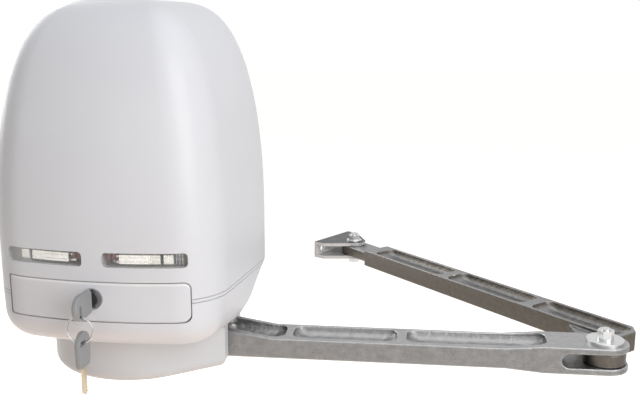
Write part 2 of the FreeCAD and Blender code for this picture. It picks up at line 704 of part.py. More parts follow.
def key_head_flat():
    """Key head lying along -X from the origin, thin along Z: oval bow with a slot across it."""
    radius = 0.5 * KEY_HEAD_HEIGHT
    half = 0.5 * KEY_HEAD_THICK
    far = -KEY_HEAD_LENGTH + radius
    neck = KEY_HEAD_NECK * radius
    bow = joined([rod(radius, -half, half, far, 0), rod(neck, -half, half, -neck, 0),
                  prism([(far, -radius), (-neck, -neck), (-neck, neck), (far, radius)], -half, half)])
    rims = [e for e in bow.Edges if abs(e.Vertexes[0].Z - e.Vertexes[-1].Z) < 1e-6]
    bow = bow.makeFillet(1.2, rims)
    slot_x = -KEY_HEAD_LENGTH + KEY_SLOT_FROM_END
    slot = obround(-0.5 * KEY_SLOT_HEIGHT, 0.5 * KEY_SLOT_HEIGHT, 0.5 * KEY_SLOT_WIDTH, -half - 1, half + 1)
    slot.rotate(V(0, 0, 0), UP, 90)
    slot.translate(V(slot_x, -KEY_SLOT_DROP, 0))
    return bow.cut(slot)


def key_blade_flat():
    """Key blade lying along +X from the head, with a shoulder, cut edge and pointed tip."""
    half = 0.5 * KEY_BLADE_WIDTH
    tip = KEY_BLADE_LENGTH
    teeth = [(0.9 * tip, half)]
    for k in range(4):
        x = (0.82 - 0.16 * k) * tip
        teeth += [(x, half - 1.4), (x - 0.05 * tip, half - 0.4)]
    outline = [(-3, -half), (0.9 * tip, -half), (tip, 0)] + teeth + [(-3, half)]
    return prism(outline, -0.5 * KEY_BLADE_THICK, 0.5 * KEY_BLADE_THICK)


def stand_key(shape):
    """Turns a flat key upright, its length along Y into the lock."""
    shape.rotate(V(0, 0, 0), UP, 90)
    shape.rotate(V(0, 0, 0), V(0, 1, 0), 90)
    shape.translate(V(LOCK_X, KEY_HEAD_REAR, LOCK_HEIGHT))
    return shape


def key_head():
    """Head of the key in the lock."""
    return stand_key(key_head_flat().cut(key_blade_flat()))


def key_blade():
    """Blade of the key in the lock."""
    return stand_key(key_blade_flat())


RING_Y = KEY_HEAD_FRONT + KEY_SLOT_FROM_END
RING_TOP = LOCK_HEIGHT - KEY_SLOT_DROP - 0.5 * KEY_SLOT_HEIGHT + RING_WIRE_R + RING_CLEAR
RING_HEIGHT = RING_TOP - RING_MEAN_R


def key_ring():
    """Split ring through the key's slot."""
    return Part.makeTorus(RING_MEAN_R, RING_WIRE_R, V(LOCK_X, RING_Y, RING_HEIGHT), V(0, 1, 0))


SPARE_TOP = RING_HEIGHT - RING_MEAN_R + RING_WIRE_R + RING_CLEAR + KEY_SLOT_FROM_END - 0.5 * KEY_SLOT_WIDTH


def hang_key(shape):
    """Turns a flat key upright, its length straight down, hung on the ring."""
    shape.rotate(V(0, 0, 0), V(0, 1, 0), 90)
    shape.translate(V(LOCK_X, RING_Y + KEY_SLOT_DROP, SPARE_TOP - KEY_HEAD_LENGTH))
    return shape


def spare_key_head():
    """Head of the spare key."""
    return hang_key(key_head_flat().cut(key_blade_flat()))


def spare_key_blade():
    """Blade of the spare key."""
    return hang_key(key_blade_flat())


def release_tray():
    """Tray behind the flap, closed towards the inside of the housing."""
    y0 = -HOUSING_FRONT
    outer = box(-TRAY_HALF_WIDTH, TRAY_HALF_WIDTH, y0, TRAY_REAR, TRAY_LOW, TRAY_HIGH)
    hollow = box(-TRAY_HALF_WIDTH + TRAY_WALL, TRAY_HALF_WIDTH - TRAY_WALL, y0 - 1, TRAY_REAR - TRAY_WALL,
                 TRAY_LOW + TRAY_WALL, TRAY_HIGH - TRAY_WALL)
    inside = full_prism(SEAM_LOW, TRAY_HIGH, WALL + TRAY_CLEAR).fuse(bowl(WALL + TRAY_CLEAR))
    catch_y = PLUG_REAR - CATCH_CLEAR
    catch = box(LOCK_X - LOCK_CAM_WIDTH, LOCK_X + LOCK_CAM_WIDTH, catch_y - CATCH_THICK, catch_y,
                LOCK_HEIGHT + LOCK_CAM_LENGTH - CATCH_HOLD, TRAY_HIGH)
    tray = joined([outer.cut(hollow), catch]).common(inside)
    lug_room = HINGE_KNUCKLE_R + 2.0
    cuts = [rod_y(SPINDLE_R + 0.6, TRAY_REAR - 5, TRAY_REAR + 5, RELEASE_X, RELEASE_HEIGHT),
            box(-TRAY_HALF_WIDTH - 1, HINGE_X + lug_room, y0, HINGE_Y + lug_room, TRAY_LOW, TRAY_HIGH)]
    return tray.cut(cuts).removeSplitter()


# Gears

def involute(angle):
    """Involute function of a pressure angle in radians."""
    return math.tan(angle) - angle


def gear_outline(module, teeth):
    """Outline of a spur gear: straight-sided steps along each involute flank."""
    pitch_r = 0.5 * module * teeth
    base_r = pitch_r * math.cos(math.radians(PRESSURE_ANGLE))
    tip_r = pitch_r + 0.9 * module
    root_r = pitch_r - 1.2 * module
    half = 0.5 * math.pi / teeth - 0.5 * BACKLASH / pitch_r
    radii = [r for r in (base_r + 0.05 * module, pitch_r - 0.3 * module, pitch_r + 0.3 * module, tip_r)
             if r > max(root_r, base_r)]

    def flank(radius):
        lean = math.acos(min(1.0, base_r / radius))
        return half + involute(math.radians(PRESSURE_ANGLE)) - involute(lean)

    side = [(root_r, flank(max(root_r, radii[0])))] + [(r, flank(r)) for r in radii]
    points = []
    for k in range(teeth):
        middle = 2 * math.pi * k / teeth
        for radius, angle in [(r, -a) for r, a in side] + side[::-1]:
            points.append((radius * math.cos(middle + angle), radius * math.sin(middle + angle)))
    return points


def spur_gear(module, teeth, z0, width, x=0.0, y=0.0, phase=0.0):
    """Solid spur gear, turned by a phase and set on its axis."""
    gear = prism(gear_outline(module, teeth), z0, z0 + width)
    gear.rotate(V(0, 0, 0), UP, phase)
    gear.translate(V(x, y, 0))
    return gear


LAY_X = -0.5 * MAIN_MODULE * (MAIN_GEAR_TEETH + MAIN_PINION_TEETH)
FAST_CENTRES = 0.5 * FAST_MODULE * (FAST_GEAR_TEETH + FAST_PINION_TEETH)
MOTOR_X = LAY_X + FAST_CENTRES * math.cos(math.radians(MOTOR_BEARING))
MOTOR_Y = FAST_CENTRES * math.sin(math.radians(MOTOR_BEARING))
MAIN_GEAR_R = 0.5 * MAIN_MODULE * MAIN_GEAR_TEETH + MAIN_MODULE
FAST_GEAR_R = 0.5 * FAST_MODULE * FAST_GEAR_TEETH + FAST_MODULE
FAST_PINION_R = 0.5 * FAST_MODULE * FAST_PINION_TEETH + FAST_MODULE
GEAR_ROOM = 3.0
DOG_PLACES = (45, 135, 225, 315)


def dogs(z0, z1, room):
    """Four clutch dogs, or the slots that they drop into."""
    blocks = []
    for angle in DOG_PLACES:
        block = box(16.0 - room, SLEEVE_R - 1 + room, -4 - room, 4 + room, z0, z1)
        block.rotate(V(0, 0, 0), UP, angle)
        blocks.append(block)
    return blocks


GEAR_HUB_TOP = SLEEVE_LOW - 0.4


def output_gear():
    """Large gear on the output shaft, lightened by round holes, with dog slots in its hub."""
    low = MAIN_GEAR_LOW
    high = low + MAIN_GEAR_WIDTH
    gear = spur_gear(MAIN_MODULE, MAIN_GEAR_TEETH, low, MAIN_GEAR_WIDTH)
    hub = rod(SLEEVE_R + 1.5, high, GEAR_HUB_TOP)
    holes = [rod(5.5, low, high, 33 * math.cos(math.radians(60 * k)), 33 * math.sin(math.radians(60 * k)))
             for k in range(6)]
    slots = dogs(SLEEVE_LOW - DOG_DEPTH - 0.4, GEAR_HUB_TOP, 0.4)
    return joined([gear, hub]).cut(holes + slots + [rod(SHAFT_GEAR_R, low, GEAR_HUB_TOP)])


def clutch_sleeve():
    """Sliding sleeve on the shaft's hexagon, with dogs below and a groove for the fork."""
    ring = rod(SLEEVE_R, SLEEVE_LOW, SLEEVE_HIGH).cut(hexagon(SHAFT_HEX + 0.2, SLEEVE_LOW, SLEEVE_HIGH))
    groove = tube(SLEEVE_R + 1, SLEEVE_GROOVE_R, SLEEVE_GROOVE[0], SLEEVE_GROOVE[1])
    teeth = dogs(SLEEVE_LOW - DOG_DEPTH, SLEEVE_LOW, 0.0)
    return joined([ring.cut(groove)] + teeth)


LID_BOTTOM = CASE_TOP
LID_TOP = CASE_TOP + LID_THICK
TOP_BEARING_LOW = LID_BOTTOM + 3.0
TOP_BOSS_HIGH = TOP_BEARING_LOW + TOP_BEARING_HEIGHT + 4.0
SHAFT_LOW = -2.0
LOW_BEARING_LOW = CASE_NECK_LOW + SEAL_HEIGHT + 3.0


def output_shaft():
    """Stepped shaft: square foot for the arm, bearing seats, gear seat and clutch hexagon."""
    square = 0.5 * SHAFT_SQUARE
    foot = on_main_arm(box(-square, square, -square, square, SHAFT_LOW, ARM_HALF_HEIGHT + 1))
    parts = [foot,
             rod(SHAFT_R, ARM_HALF_HEIGHT + 0.3, MAIN_GEAR_LOW - 4),
             rod(SHAFT_R + 4, MAIN_GEAR_LOW - 4, MAIN_GEAR_LOW),
             rod(SHAFT_GEAR_R, MAIN_GEAR_LOW, GEAR_HUB_TOP),
             hexagon(SHAFT_HEX, GEAR_HUB_TOP, LID_BOTTOM + 0.5),
             rod(SHAFT_JOURNAL_R, LID_BOTTOM, TOP_BEARING_LOW + TOP_BEARING_HEIGHT)]
    return joined(parts).cut(rod(HUB_BOLT_R, SHAFT_LOW, SHAFT_LOW + 26))


def lay_shaft():
    """Shaft from the case floor to the lid, with the small gear that drives the output gear cut on it."""
    pinion = spur_gear(MAIN_MODULE, MAIN_PINION_TEETH, MAIN_GEAR_LOW - 1, MAIN_GEAR_WIDTH + 2, LAY_X)
    return joined([rod(LAY_SHAFT_R, CASE_CAVITY_LOW - 4, LID_TOP - 2, LAY_X, 0), pinion])


def lay_gear():
    """Gear driven by the motor pinion."""
    gear = spur_gear(FAST_MODULE, FAST_GEAR_TEETH, FAST_GEAR_LOW, FAST_GEAR_WIDTH, LAY_X)
    hub = rod(10.0, FAST_GEAR_LOW - 4, FAST_GEAR_LOW, LAY_X)
    bore = rod(LAY_SHAFT_R, FAST_GEAR_LOW - 4, FAST_GEAR_LOW + FAST_GEAR_WIDTH, LAY_X)
    return joined([gear, hub]).cut(bore)


def lay_bushes():
    """Plain bushes at both ends of the lay shaft."""
    outer = LAY_SHAFT_R + 3
    inner = LAY_SHAFT_R + RUNNING_FIT
    return group([tube(outer, inner, CASE_CAVITY_LOW - 5, CASE_CAVITY_LOW + 2, LAY_X),
                  tube(outer, inner, LID_BOTTOM - 2, LID_TOP - 2, LAY_X)])


def motor_shaft():
    """Output shaft of the geared motor, its pinion turned so that a space meets the lay gear's tooth."""
    phase = 180 + MOTOR_BEARING - 180.0 / FAST_PINION_TEETH
    pinion = spur_gear(FAST_MODULE, FAST_PINION_TEETH, FAST_GEAR_LOW - 1, FAST_GEAR_WIDTH + 2,
                       MOTOR_X, MOTOR_Y, phase)
    return joined([rod(MOTOR_SHAFT_R, FAST_GEAR_LOW - 2, LID_TOP + 12, MOTOR_X, MOTOR_Y), pinion])


# Gear case

def case_outline(grow, z0, z1):
    """Rounded block around the gear train, grown by a wall."""
    main_r = MAIN_GEAR_R + GEAR_ROOM + grow
    lay_r = FAST_GEAR_R + GEAR_ROOM + grow
    motor_r = FAST_PINION_R + GEAR_ROOM + grow
    pocket = box(CASE_FRONT_POCKET_X[0] - grow, CASE_FRONT_POCKET_X[1] + grow, CASE_FRONT_Y - grow, 0, z0, z1)
    return joined([rod(main_r, z0, z1), rod(lay_r, z0, z1, LAY_X, 0), rod(motor_r, z0, z1, MOTOR_X, MOTOR_Y),
                   pocket])


FLANGE_FRONT = SHAFT_SETBACK - PLATE_THICK - CASE_FLANGE_THICK
FLANGE_REAR = SHAFT_SETBACK - PLATE_THICK
PLATE_BOLTS = [(sx * PLATE_BOLT_X, z) for sx in (-1, 1) for z in (PLATE_BOLT_LOW, PLATE_BOLT_HIGH)]
PLATE_BOLT_R = 4.0


def gear_case():
    """Casting with a gear room, bearing barrel, foot for the shell and a ribbed rear flange."""
    room = case_outline(0.0, CASE_CAVITY_LOW, CASE_TOP)
    body = joined([case_outline(CASE_WALL, CASE_CAVITY_LOW - CASE_WALL, CASE_TOP),
                   rod(CASE_BARREL_R, SHELL_BOTTOM + WALL, CASE_CAVITY_LOW),
                   rod(CASE_FOOT_R, SHELL_BOTTOM + WALL, SHELL_BOTTOM + WALL + CASE_FOOT_THICK),
                   rod(CASE_NECK_R, CASE_NECK_LOW, SHELL_BOTTOM + WALL + 1),
                   box(-CASE_FLANGE_HALF_WIDTH, CASE_FLANGE_HALF_WIDTH, FLANGE_FRONT, FLANGE_REAR,
                       CASE_FLANGE_LOW, CASE_TOP)]
                  + [box(x - 4, x + 4, 20, FLANGE_FRONT + 1, CASE_FLANGE_LOW + 6, CASE_TOP)
                     for x in (-30, 0, 30)])
    boss = rod_y(SPINDLE_R + 4, TRAY_REAR, CASE_FRONT_Y, RELEASE_X, RELEASE_HEIGHT)
    body = joined([body, boss]).cut(room)
    cuts = [rod(SHAFT_R + 1, 0, CASE_CAVITY_LOW + 1),
            rod(SEAL_R, CASE_NECK_LOW, CASE_NECK_LOW + SEAL_HEIGHT),
            rod(LOW_BEARING_R, LOW_BEARING_LOW, CASE_CAVITY_LOW),
            rod(LAY_SHAFT_R + 3, CASE_CAVITY_LOW - 5, CASE_CAVITY_LOW, LAY_X),
            rod_y(SPINDLE_R + RUNNING_FIT, TRAY_REAR - 1, CASE_FRONT_Y + 1, RELEASE_X, RELEASE_HEIGHT)]
    cuts += [rod_y(PLATE_BOLT_R + 0.2, FLANGE_FRONT - 1, FLANGE_REAR + 1, x, z) for x, z in PLATE_BOLTS]
    cuts += [rod(SCREW_R, SHELL_BOTTOM, SHELL_BOTTOM + WALL + CASE_FOOT_THICK, x, y) for x, y in SHELL_SCREWS]
    cuts += [rod(SCREW_R - 0.2, CASE_TOP - 14, CASE_TOP, x, y) for x, y in LID_SCREWS]
    ears = [rod(SCREW_EAR_R, CASE_TOP - SCREW_EAR_DEPTH, CASE_TOP, x, y) for x, y in LID_SCREWS]
    return joined([body] + [e.cut(room) for e in ears]).cut(cuts)


LID_SCREW_R = MAIN_GEAR_R + GEAR_ROOM + CASE_WALL + 2
LID_SCREWS = [(LID_SCREW_R * math.cos(math.radians(a)), LID_SCREW_R * math.sin(math.radians(a)))
              for a in (-25, 95, 242)]
LAY_SCREW_R = FAST_GEAR_R + GEAR_ROOM + CASE_WALL + 2
LID_SCREWS += [(LAY_X + LAY_SCREW_R * math.cos(math.radians(LAY_SCREW_TURN)),
                LAY_SCREW_R * math.sin(math.radians(LAY_SCREW_TURN)))]


def gear_case_lid():
    """Lid with the upper shaft bearing's boss, the motor seat and a shelf for the transformer."""
    shelf = rod(TRANSFORMER_R + 3, LID_BOTTOM, LID_TOP, TRANSFORMER_X, TRANSFORMER_Y)
    plate = joined([case_outline(CASE_WALL, LID_BOTTOM, LID_TOP), shelf,
                    rod(MOTOR_HEAD_R + 4, LID_BOTTOM, LID_TOP, MOTOR_X, MOTOR_Y)]
                   + [rod(SCREW_EAR_R, LID_BOTTOM, LID_TOP, x, y) for x, y in LID_SCREWS])
    boss = rod(TOP_BEARING_R + 4, LID_BOTTOM, TOP_BOSS_HIGH)
    boss = boss.cut(rod(MOTOR_HEAD_R + 0.3, LID_TOP, TOP_BOSS_HIGH, MOTOR_X, MOTOR_Y))
    cuts = [rod(TOP_BEARING_R, TOP_BEARING_LOW, TOP_BEARING_LOW + TOP_BEARING_HEIGHT),
            rod(SHAFT_R + 1, LID_BOTTOM, TOP_BEARING_LOW),
            rod(LAY_SHAFT_R + 3, LID_BOTTOM, LID_TOP - 2, LAY_X),
            rod(MOTOR_SHAFT_R + 0.5, LID_BOTTOM, LID_TOP, MOTOR_X, MOTOR_Y),
            rod(FORK_ROD_R, LID_BOTTOM, LID_BOTTOM + 5, 0, FORK_ROD_Y)]
    cuts += [rod(SCREW_R + 0.2, LID_BOTTOM, LID_TOP, x, y) for x, y in LID_SCREWS]
    return joined([plate, boss]).cut(cuts)


def lid_screws():
    """Screws round the gear case's lid, as a list."""
    return [joined([rod(SCREW_HEAD_R, LID_TOP, LID_TOP + 3, x, y),
                    rod(SCREW_R - 0.2, CASE_TOP - 12, LID_TOP, x, y)]) for x, y in LID_SCREWS]


def ball_bearing(radius, bore, z0, height):
    """Bearing ring with sunk shields on both faces."""
    ring = tube(radius, bore + RUNNING_FIT, z0, z0 + height)
    land = 0.3 * (radius - bore)
    low = tube(radius - land, bore + land, z0, z0 + 1)
    high = tube(radius - land, bore + land, z0 + height - 1, z0 + height)
    return ring.cut([low, high])


def shaft_seal():
    """Lip seal under the lower bearing."""
    ring = tube(SEAL_R, SHAFT_R + RUNNING_FIT, CASE_NECK_LOW, CASE_NECK_LOW + SEAL_HEIGHT)
    return ring.cut(tube(SEAL_R - 3, SHAFT_R + 3, CASE_NECK_LOW, CASE_NECK_LOW + 2))


def wall_plate():
    """Steel plate on the wall with four bolt holes and tapped holes for the gear case."""
    plate = box(-PLATE_HALF_WIDTH, PLATE_HALF_WIDTH, FLANGE_REAR, SHAFT_SETBACK, PLATE_LOW, PLATE_TOP)
    corners = [e for e in plate.Edges if abs(e.Vertexes[0].Y - e.Vertexes[-1].Y) > 1.0]
    plate = plate.makeFillet(PLATE_CORNER, corners)
    cuts = [rod_y(ANCHOR_HOLE_R, FLANGE_REAR - 1, SHAFT_SETBACK + 1, sx * 0.5 * ANCHOR_SPACING_X,
                  PLATE_CENTRE_HEIGHT + sz * 0.5 * ANCHOR_SPACING_Z) for sx in (-1, 1) for sz in (-1, 1)]
    cuts += [rod_y(PLATE_BOLT_R, FLANGE_REAR - 1, SHAFT_SETBACK + 1, x, z) for x, z in PLATE_BOLTS]
    return plate.cut(cuts)


def plate_bolts():
    """Hexagon bolts that hold the gear case's flange to the wall plate."""
    bolts = []
    for x, z in PLATE_BOLTS:
        head = hexagon(13.0, 0, 5.3)
        head.rotate(V(0, 0, 0), V(1, 0, 0), 90)
        head.translate(V(x, FLANGE_FRONT, z))
        bolts.append(joined([head, rod_y(PLATE_BOLT_R, FLANGE_FRONT, SHAFT_SETBACK - 1, x, z)]))
    return group(bolts)


# Release gear

CRANK_X = RELEASE_X + 0.5 * RELEASE_TRAVEL
CRANK_LOW = RELEASE_HEIGHT - 0.5 * RELEASE_TRAVEL
EAR_Y = (CASE_FRONT_Y + 4.0, CASE_FRONT_Y + 8.0)
SPINDLE_END = EAR_Y[0] - 0.4


def fork_rod():
    """Guide rod of the shift fork, held in the lid."""
    return rod(FORK_ROD_R, SLEEVE_LOW, LID_BOTTOM + 5, 0, FORK_ROD_Y)


def shift_fork():
    """Fork that rides in the sleeve's groove, slides on the rod and carries the crank's slot."""
    low = SLEEVE_GROOVE[0] + 0.3
    high = SLEEVE_GROOVE[1] - 0.3
    horseshoe = tube(SLEEVE_R + 4, SLEEVE_GROOVE_R + 0.4, low, high)
    horseshoe = horseshoe.cut(box(-40, 40, 4, 40, low, high))
    neck = box(-6, 6, FORK_ROD_Y, -SLEEVE_GROOVE_R - 3, low, high)
    boss = rod(FORK_BOSS_R, SLEEVE_LOW + 1.5, SLEEVE_HIGH - 1, 0, FORK_ROD_Y)
    bridge = box(-5, 5, EAR_Y[0], FORK_ROD_Y, low, SLEEVE_HIGH - 1)
    ear = joined([box(-5, CRANK_X + 6, EAR_Y[0], EAR_Y[1], low - 4, SLEEVE_HIGH - 1),
                  box(CRANK_X - 5, CRANK_X + 6, EAR_Y[0], EAR_Y[1], CRANK_LOW - 6, SLEEVE_HIGH - 1)])
    slot = box(CRANK_X - CRANK_PIN_R - 0.4, CRANK_X + CRANK_PIN_R + 1.6, EAR_Y[0] - 1, EAR_Y[1] + 1,
               CRANK_LOW - CRANK_PIN_R - 0.35, CRANK_LOW + CRANK_PIN_R + 0.35)
    fork = joined([horseshoe, neck, boss, bridge, ear])
    return fork.cut([slot, rod(FORK_ROD_R + RUNNING_FIT, 0, CASE_TOP + 20, 0, FORK_ROD_Y)])


def release_spindle():
    """Spindle through the gear case with a crank pin at its inner end and a square for the lever."""
    shaft = rod_y(SPINDLE_R, LEVER_REAR, SPINDLE_END, RELEASE_X, RELEASE_HEIGHT)
    square = box(RELEASE_X - 3, RELEASE_X + 3, LEVER_REAR - LEVER_THICK, LEVER_REAR, RELEASE_HEIGHT - 3,
                 RELEASE_HEIGHT + 3)
    pin = rod_y(CRANK_PIN_R, SPINDLE_END - 0.5, EAR_Y[1] + 0.5, CRANK_X, CRANK_LOW)
    return joined([shaft, square, pin])


LEVER_THICK = 7.0
LEVER_REAR = TRAY_REAR - TRAY_WALL - 1.0


def release_lever():
    """Hand lever on the spindle, pointing down and to the right until it is lifted."""
    y0 = LEVER_REAR - LEVER_THICK
    arm = joined([rod_y(8.0, y0, LEVER_REAR, 0, 0), box(0, LEVER_LENGTH - 4, y0, LEVER_REAR, -4, 4),
                  rod_y(4.0, y0, LEVER_REAR, LEVER_LENGTH - 4, 0)])
    arm.rotate(V(0, 0, 0), V(0, 1, 0), 45)
    arm.translate(V(RELEASE_X, 0, RELEASE_HEIGHT))
    return arm.cut(box(RELEASE_X - 3, RELEASE_X + 3, y0, LEVER_REAR, RELEASE_HEIGHT - 3, RELEASE_HEIGHT + 3))


# Geared motor and electrics

MOTOR_HEAD_TOP = LID_TOP + MOTOR_HEAD_HEIGHT
MOTOR_CAN_TOP = MOTOR_HEAD_TOP + MOTOR_CAN_HEIGHT


def motor_head():
    """Reduction head of the motor on the gear case's lid."""
    head = rod(MOTOR_HEAD_R, LID_TOP, MOTOR_HEAD_TOP, MOTOR_X, MOTOR_Y)
    grooves = [tube(MOTOR_HEAD_R + 1, MOTOR_HEAD_R - 1.5, z, z + 2, MOTOR_X, MOTOR_Y)
               for z in (LID_TOP + 10, LID_TOP + 26)]
    return head.cut(grooves + [rod(MOTOR_SHAFT_R + RUNNING_FIT, LID_TOP, LID_TOP + 12.5, MOTOR_X, MOTOR_Y)])


def motor_can():
    """Steel can of the motor."""
    can = rod(MOTOR_CAN_R, MOTOR_HEAD_TOP, MOTOR_CAN_TOP, MOTOR_X, MOTOR_Y)
    low = MOTOR_HEAD_TOP + 12
    high = MOTOR_CAN_TOP - 12
    wide = MOTOR_CAN_R + 9
    flat = MOTOR_CAN_R - 2
    ring = box(MOTOR_X - wide, MOTOR_X + wide, MOTOR_Y - wide, MOTOR_Y + wide, low, high)
    return can.cut(ring.cut(box(MOTOR_X - wide, MOTOR_X + wide, MOTOR_Y - flat, MOTOR_Y + flat, low, high)))


def motor_end_cap():
    """Brush cap on top of the motor, with two brush caps at its sides."""
    cap = rod(MOTOR_CAN_R - 2, MOTOR_CAN_TOP, MOTOR_CAN_TOP + MOTOR_CAP_HEIGHT, MOTOR_X, MOTOR_Y)
    brush = Part.makeCylinder(4.5, 2 * MOTOR_CAN_R, V(MOTOR_X - MOTOR_CAN_R, MOTOR_Y,
                                                      MOTOR_CAN_TOP + 0.5 * MOTOR_CAP_HEIGHT), V(1, 0, 0))
    return joined([cap, brush])


def chassis():
    """Bent sheet that carries the control board, standing on the gear case's lid."""
    y0 = CHASSIS_Y - CHASSIS_THICK
    upright = box(-CHASSIS_HALF_WIDTH, CHASSIS_HALF_WIDTH, y0, CHASSIS_Y, LID_TOP, CHASSIS_TOP)
    foot = box(-CHASSIS_FOOT_HALF, CHASSIS_FOOT_HALF, y0, CHASSIS_Y + CHASSIS_FOOT_DEPTH, LID_TOP,
               LID_TOP + CHASSIS_THICK)
    foot = foot.cut(rod(TOP_BEARING_R + 4.5, LID_TOP, TOP_BOSS_HIGH))
    holes = [rod_y(9.0, y0 - 1, CHASSIS_Y + 1, x, z) for x in (-24, 24) for z in (150.0, 206.0)]
    spacers = [rod_y(STANDOFF_R, BOARD_REAR, y0, x, z) for x, z in BOARD_HOLES]
    return joined([upright, foot] + spacers).cut(holes)


BOARD_REAR = CHASSIS_Y - CHASSIS_THICK - STANDOFF
BOARD_FRONT = BOARD_REAR - BOARD_THICK
BOARD_HOLES = [(sx * (BOARD_HALF_WIDTH - 6), z) for sx in (-1, 1) for z in (BOARD_LOW + 6, BOARD_HIGH - 6)]


def control_board():
    """Control board in front of the chassis."""
    board = box(-BOARD_HALF_WIDTH, BOARD_HALF_WIDTH, BOARD_FRONT, BOARD_REAR, BOARD_LOW, BOARD_HIGH)
    return board.cut([rod_y(1.7, BOARD_FRONT - 1, BOARD_REAR + 1, x, z) for x, z in BOARD_HOLES])


def terminal_strip():
    """Row of screw terminals along the board's lower edge."""
    strip = box(-38, 38, BOARD_FRONT - 12, BOARD_FRONT, BOARD_LOW + 3, BOARD_LOW + 14)
    mouths = [box(x - 1.8, x + 1.8, BOARD_FRONT - 13, BOARD_FRONT - 7, BOARD_LOW + 5, BOARD_LOW + 9)
              for x in range(-33, 34, 6)]
    return strip.cut(mouths)


def relays():
    """Relays on the control board."""
    return group([box(x, x + 18, BOARD_FRONT - 15, BOARD_FRONT, BOARD_LOW + 30, BOARD_LOW + 52)
                  for x in (-44, -20)])


def capacitors():
    """Upright capacitors on the control board."""
    return group([rod_y(6.5, BOARD_FRONT - 18, BOARD_FRONT, x, BOARD_LOW + 40) for x in (14, 32)])


def transformer():
    """Ring-core transformer on the lid's shelf, its middle filled round a bolt."""
    ring = rod(TRANSFORMER_R, LID_TOP, LID_TOP + TRANSFORMER_HEIGHT, TRANSFORMER_X, TRANSFORMER_Y)
    rims = [e for e in ring.Edges if e.Closed and len(e.Vertexes) == 1]
    ring = ring.makeFillet(8.0, rims)
    top = LID_TOP + TRANSFORMER_HEIGHT
    dish = tube(TRANSFORMER_R * 0.4, 5.0, top - 3, top, TRANSFORMER_X, TRANSFORMER_Y)
    return ring.cut(dish)


# Arms

ELBOW = V(ARM_LENGTH * math.cos(math.radians(ARM_ANGLE)), ARM_LENGTH * math.sin(math.radians(ARM_ANGLE)), 0)


def on_main_arm(shape):
    """Turns a piece laid out along X to the main arm's angle."""
    shape.rotate(V(0, 0, 0), UP, ARM_ANGLE)
    return shape


def on_forearm(shape):
    """Sets a piece laid out from the elbow along X to the forearm's place."""
    shape.rotate(V(0, 0, 0), UP, FOREARM_ANGLE)
    shape.translate(ELBOW)
    return shape


HUB_BOLT_R = 5.0
HUB_BOLT_HEAD = 4.0
HUB_FLANGE_THICK = 2.5
HUB_HEX = 17.0
HUB_BOLT_LENGTH = 24.0
HUB_RECESS = SHAFT_LOW


def pockets(places, half_width, half_height, y=0.0):
    """Round-bottomed scoops from above and below that leave a middle web."""
    half_web = 0.5 * ARM_WEB
    depth = half_height - half_web
    scoop_r = (half_width ** 2 + depth ** 2) / (2 * depth)
    cuts = []
    for start, end in places:
        a = start + half_width
        b = end - half_width
        for side in (-1, 1):
            z = side * (half_web + scoop_r)
            trough = Part.makeCylinder(scoop_r, b - a, V(a, y, z), V(1, 0, 0))
            trough = trough.fuse([Part.makeSphere(scoop_r, V(x, y, z)) for x in (a, b)])
            lows = sorted((0.0, side * scoop_r))
            cuts.append(trough.common(obround(start, end, half_width, lows[0], lows[1], y)))
    return cuts


def main_arm():
    """Cast arm: hub with square hole, pocketed beam and a fork for the forearm."""
    h = ARM_HALF_HEIGHT
    f = FORK_HALF_HEIGHT
    tip = ARM_LENGTH + ARM_HALF_WIDTH
    r = ROOT_HALF_HEIGHT
    profile = [(0, -h), (FORK_FLARE[0], -h), (FORK_FLARE[1], -f), (tip, -f), (tip, f), (FORK_FLARE[1], f),
               (FORK_FLARE[0], h), (ROOT_RISE[2], h), (ROOT_RISE[1], r), (ROOT_RISE[0] + r - h, r),
               (ROOT_RISE[0], h), (0, h)]
    beam = side_prism(profile, ARM_HALF_WIDTH)
    plan = joined([box(0, ARM_LENGTH, -ARM_HALF_WIDTH, ARM_HALF_WIDTH, -r, r),
                   rod(ARM_HALF_WIDTH, -r, r, ARM_LENGTH, 0)])
    shoulder = prism([(0, -ARM_HUB_R), (CAP_END - 14, -ARM_HALF_WIDTH), (CAP_END - 14, ARM_HALF_WIDTH),
                      (0, ARM_HUB_R)], -h, h)
    arm = joined([beam.common(plan), rod(ARM_HUB_R, -h, h), shoulder])
    slot_half = TONGUE_HALF_HEIGHT + TONGUE_CLEAR
    slot_x = ARM_LENGTH - FORK_SLOT_DEPTH + slot_half
    slot = joined([box(slot_x, tip + 1, -ARM_HALF_WIDTH - 1, ARM_HALF_WIDTH + 1, -slot_half, slot_half),
                   rod_y(slot_half, -ARM_HALF_WIDTH - 1, ARM_HALF_WIDTH + 1, slot_x, 0)])
    square = 0.5 * SHAFT_SQUARE
    cuts = [slot, rod(ELBOW_PIN_R, -f, f, ARM_LENGTH, 0)]
    cuts.append(rod(ELBOW_HEAD_R + 0.2, -f, -f + ELBOW_HEAD_THICK, ARM_LENGTH, 0))
    cuts += [box(-square, square, -square, square, -h, h), rod(HUB_FLANGE_R + 1, -h, HUB_RECESS)]
    cuts += [rod(SCREW_R, -h, -h + 8, 0, s * CAP_SCREW_Y) for s in (-1, 1)]
    cuts += pockets(ARM_POCKETS, ARM_POCKET_HALF, h, ARM_POCKET_SHIFT)
    return on_main_arm(arm.cut(cuts))


CAP_SCREW_Y = 24.5
CAP_FLOOR = -ARM_HALF_HEIGHT - CAP_UNDER_ARM - CAP_WALL


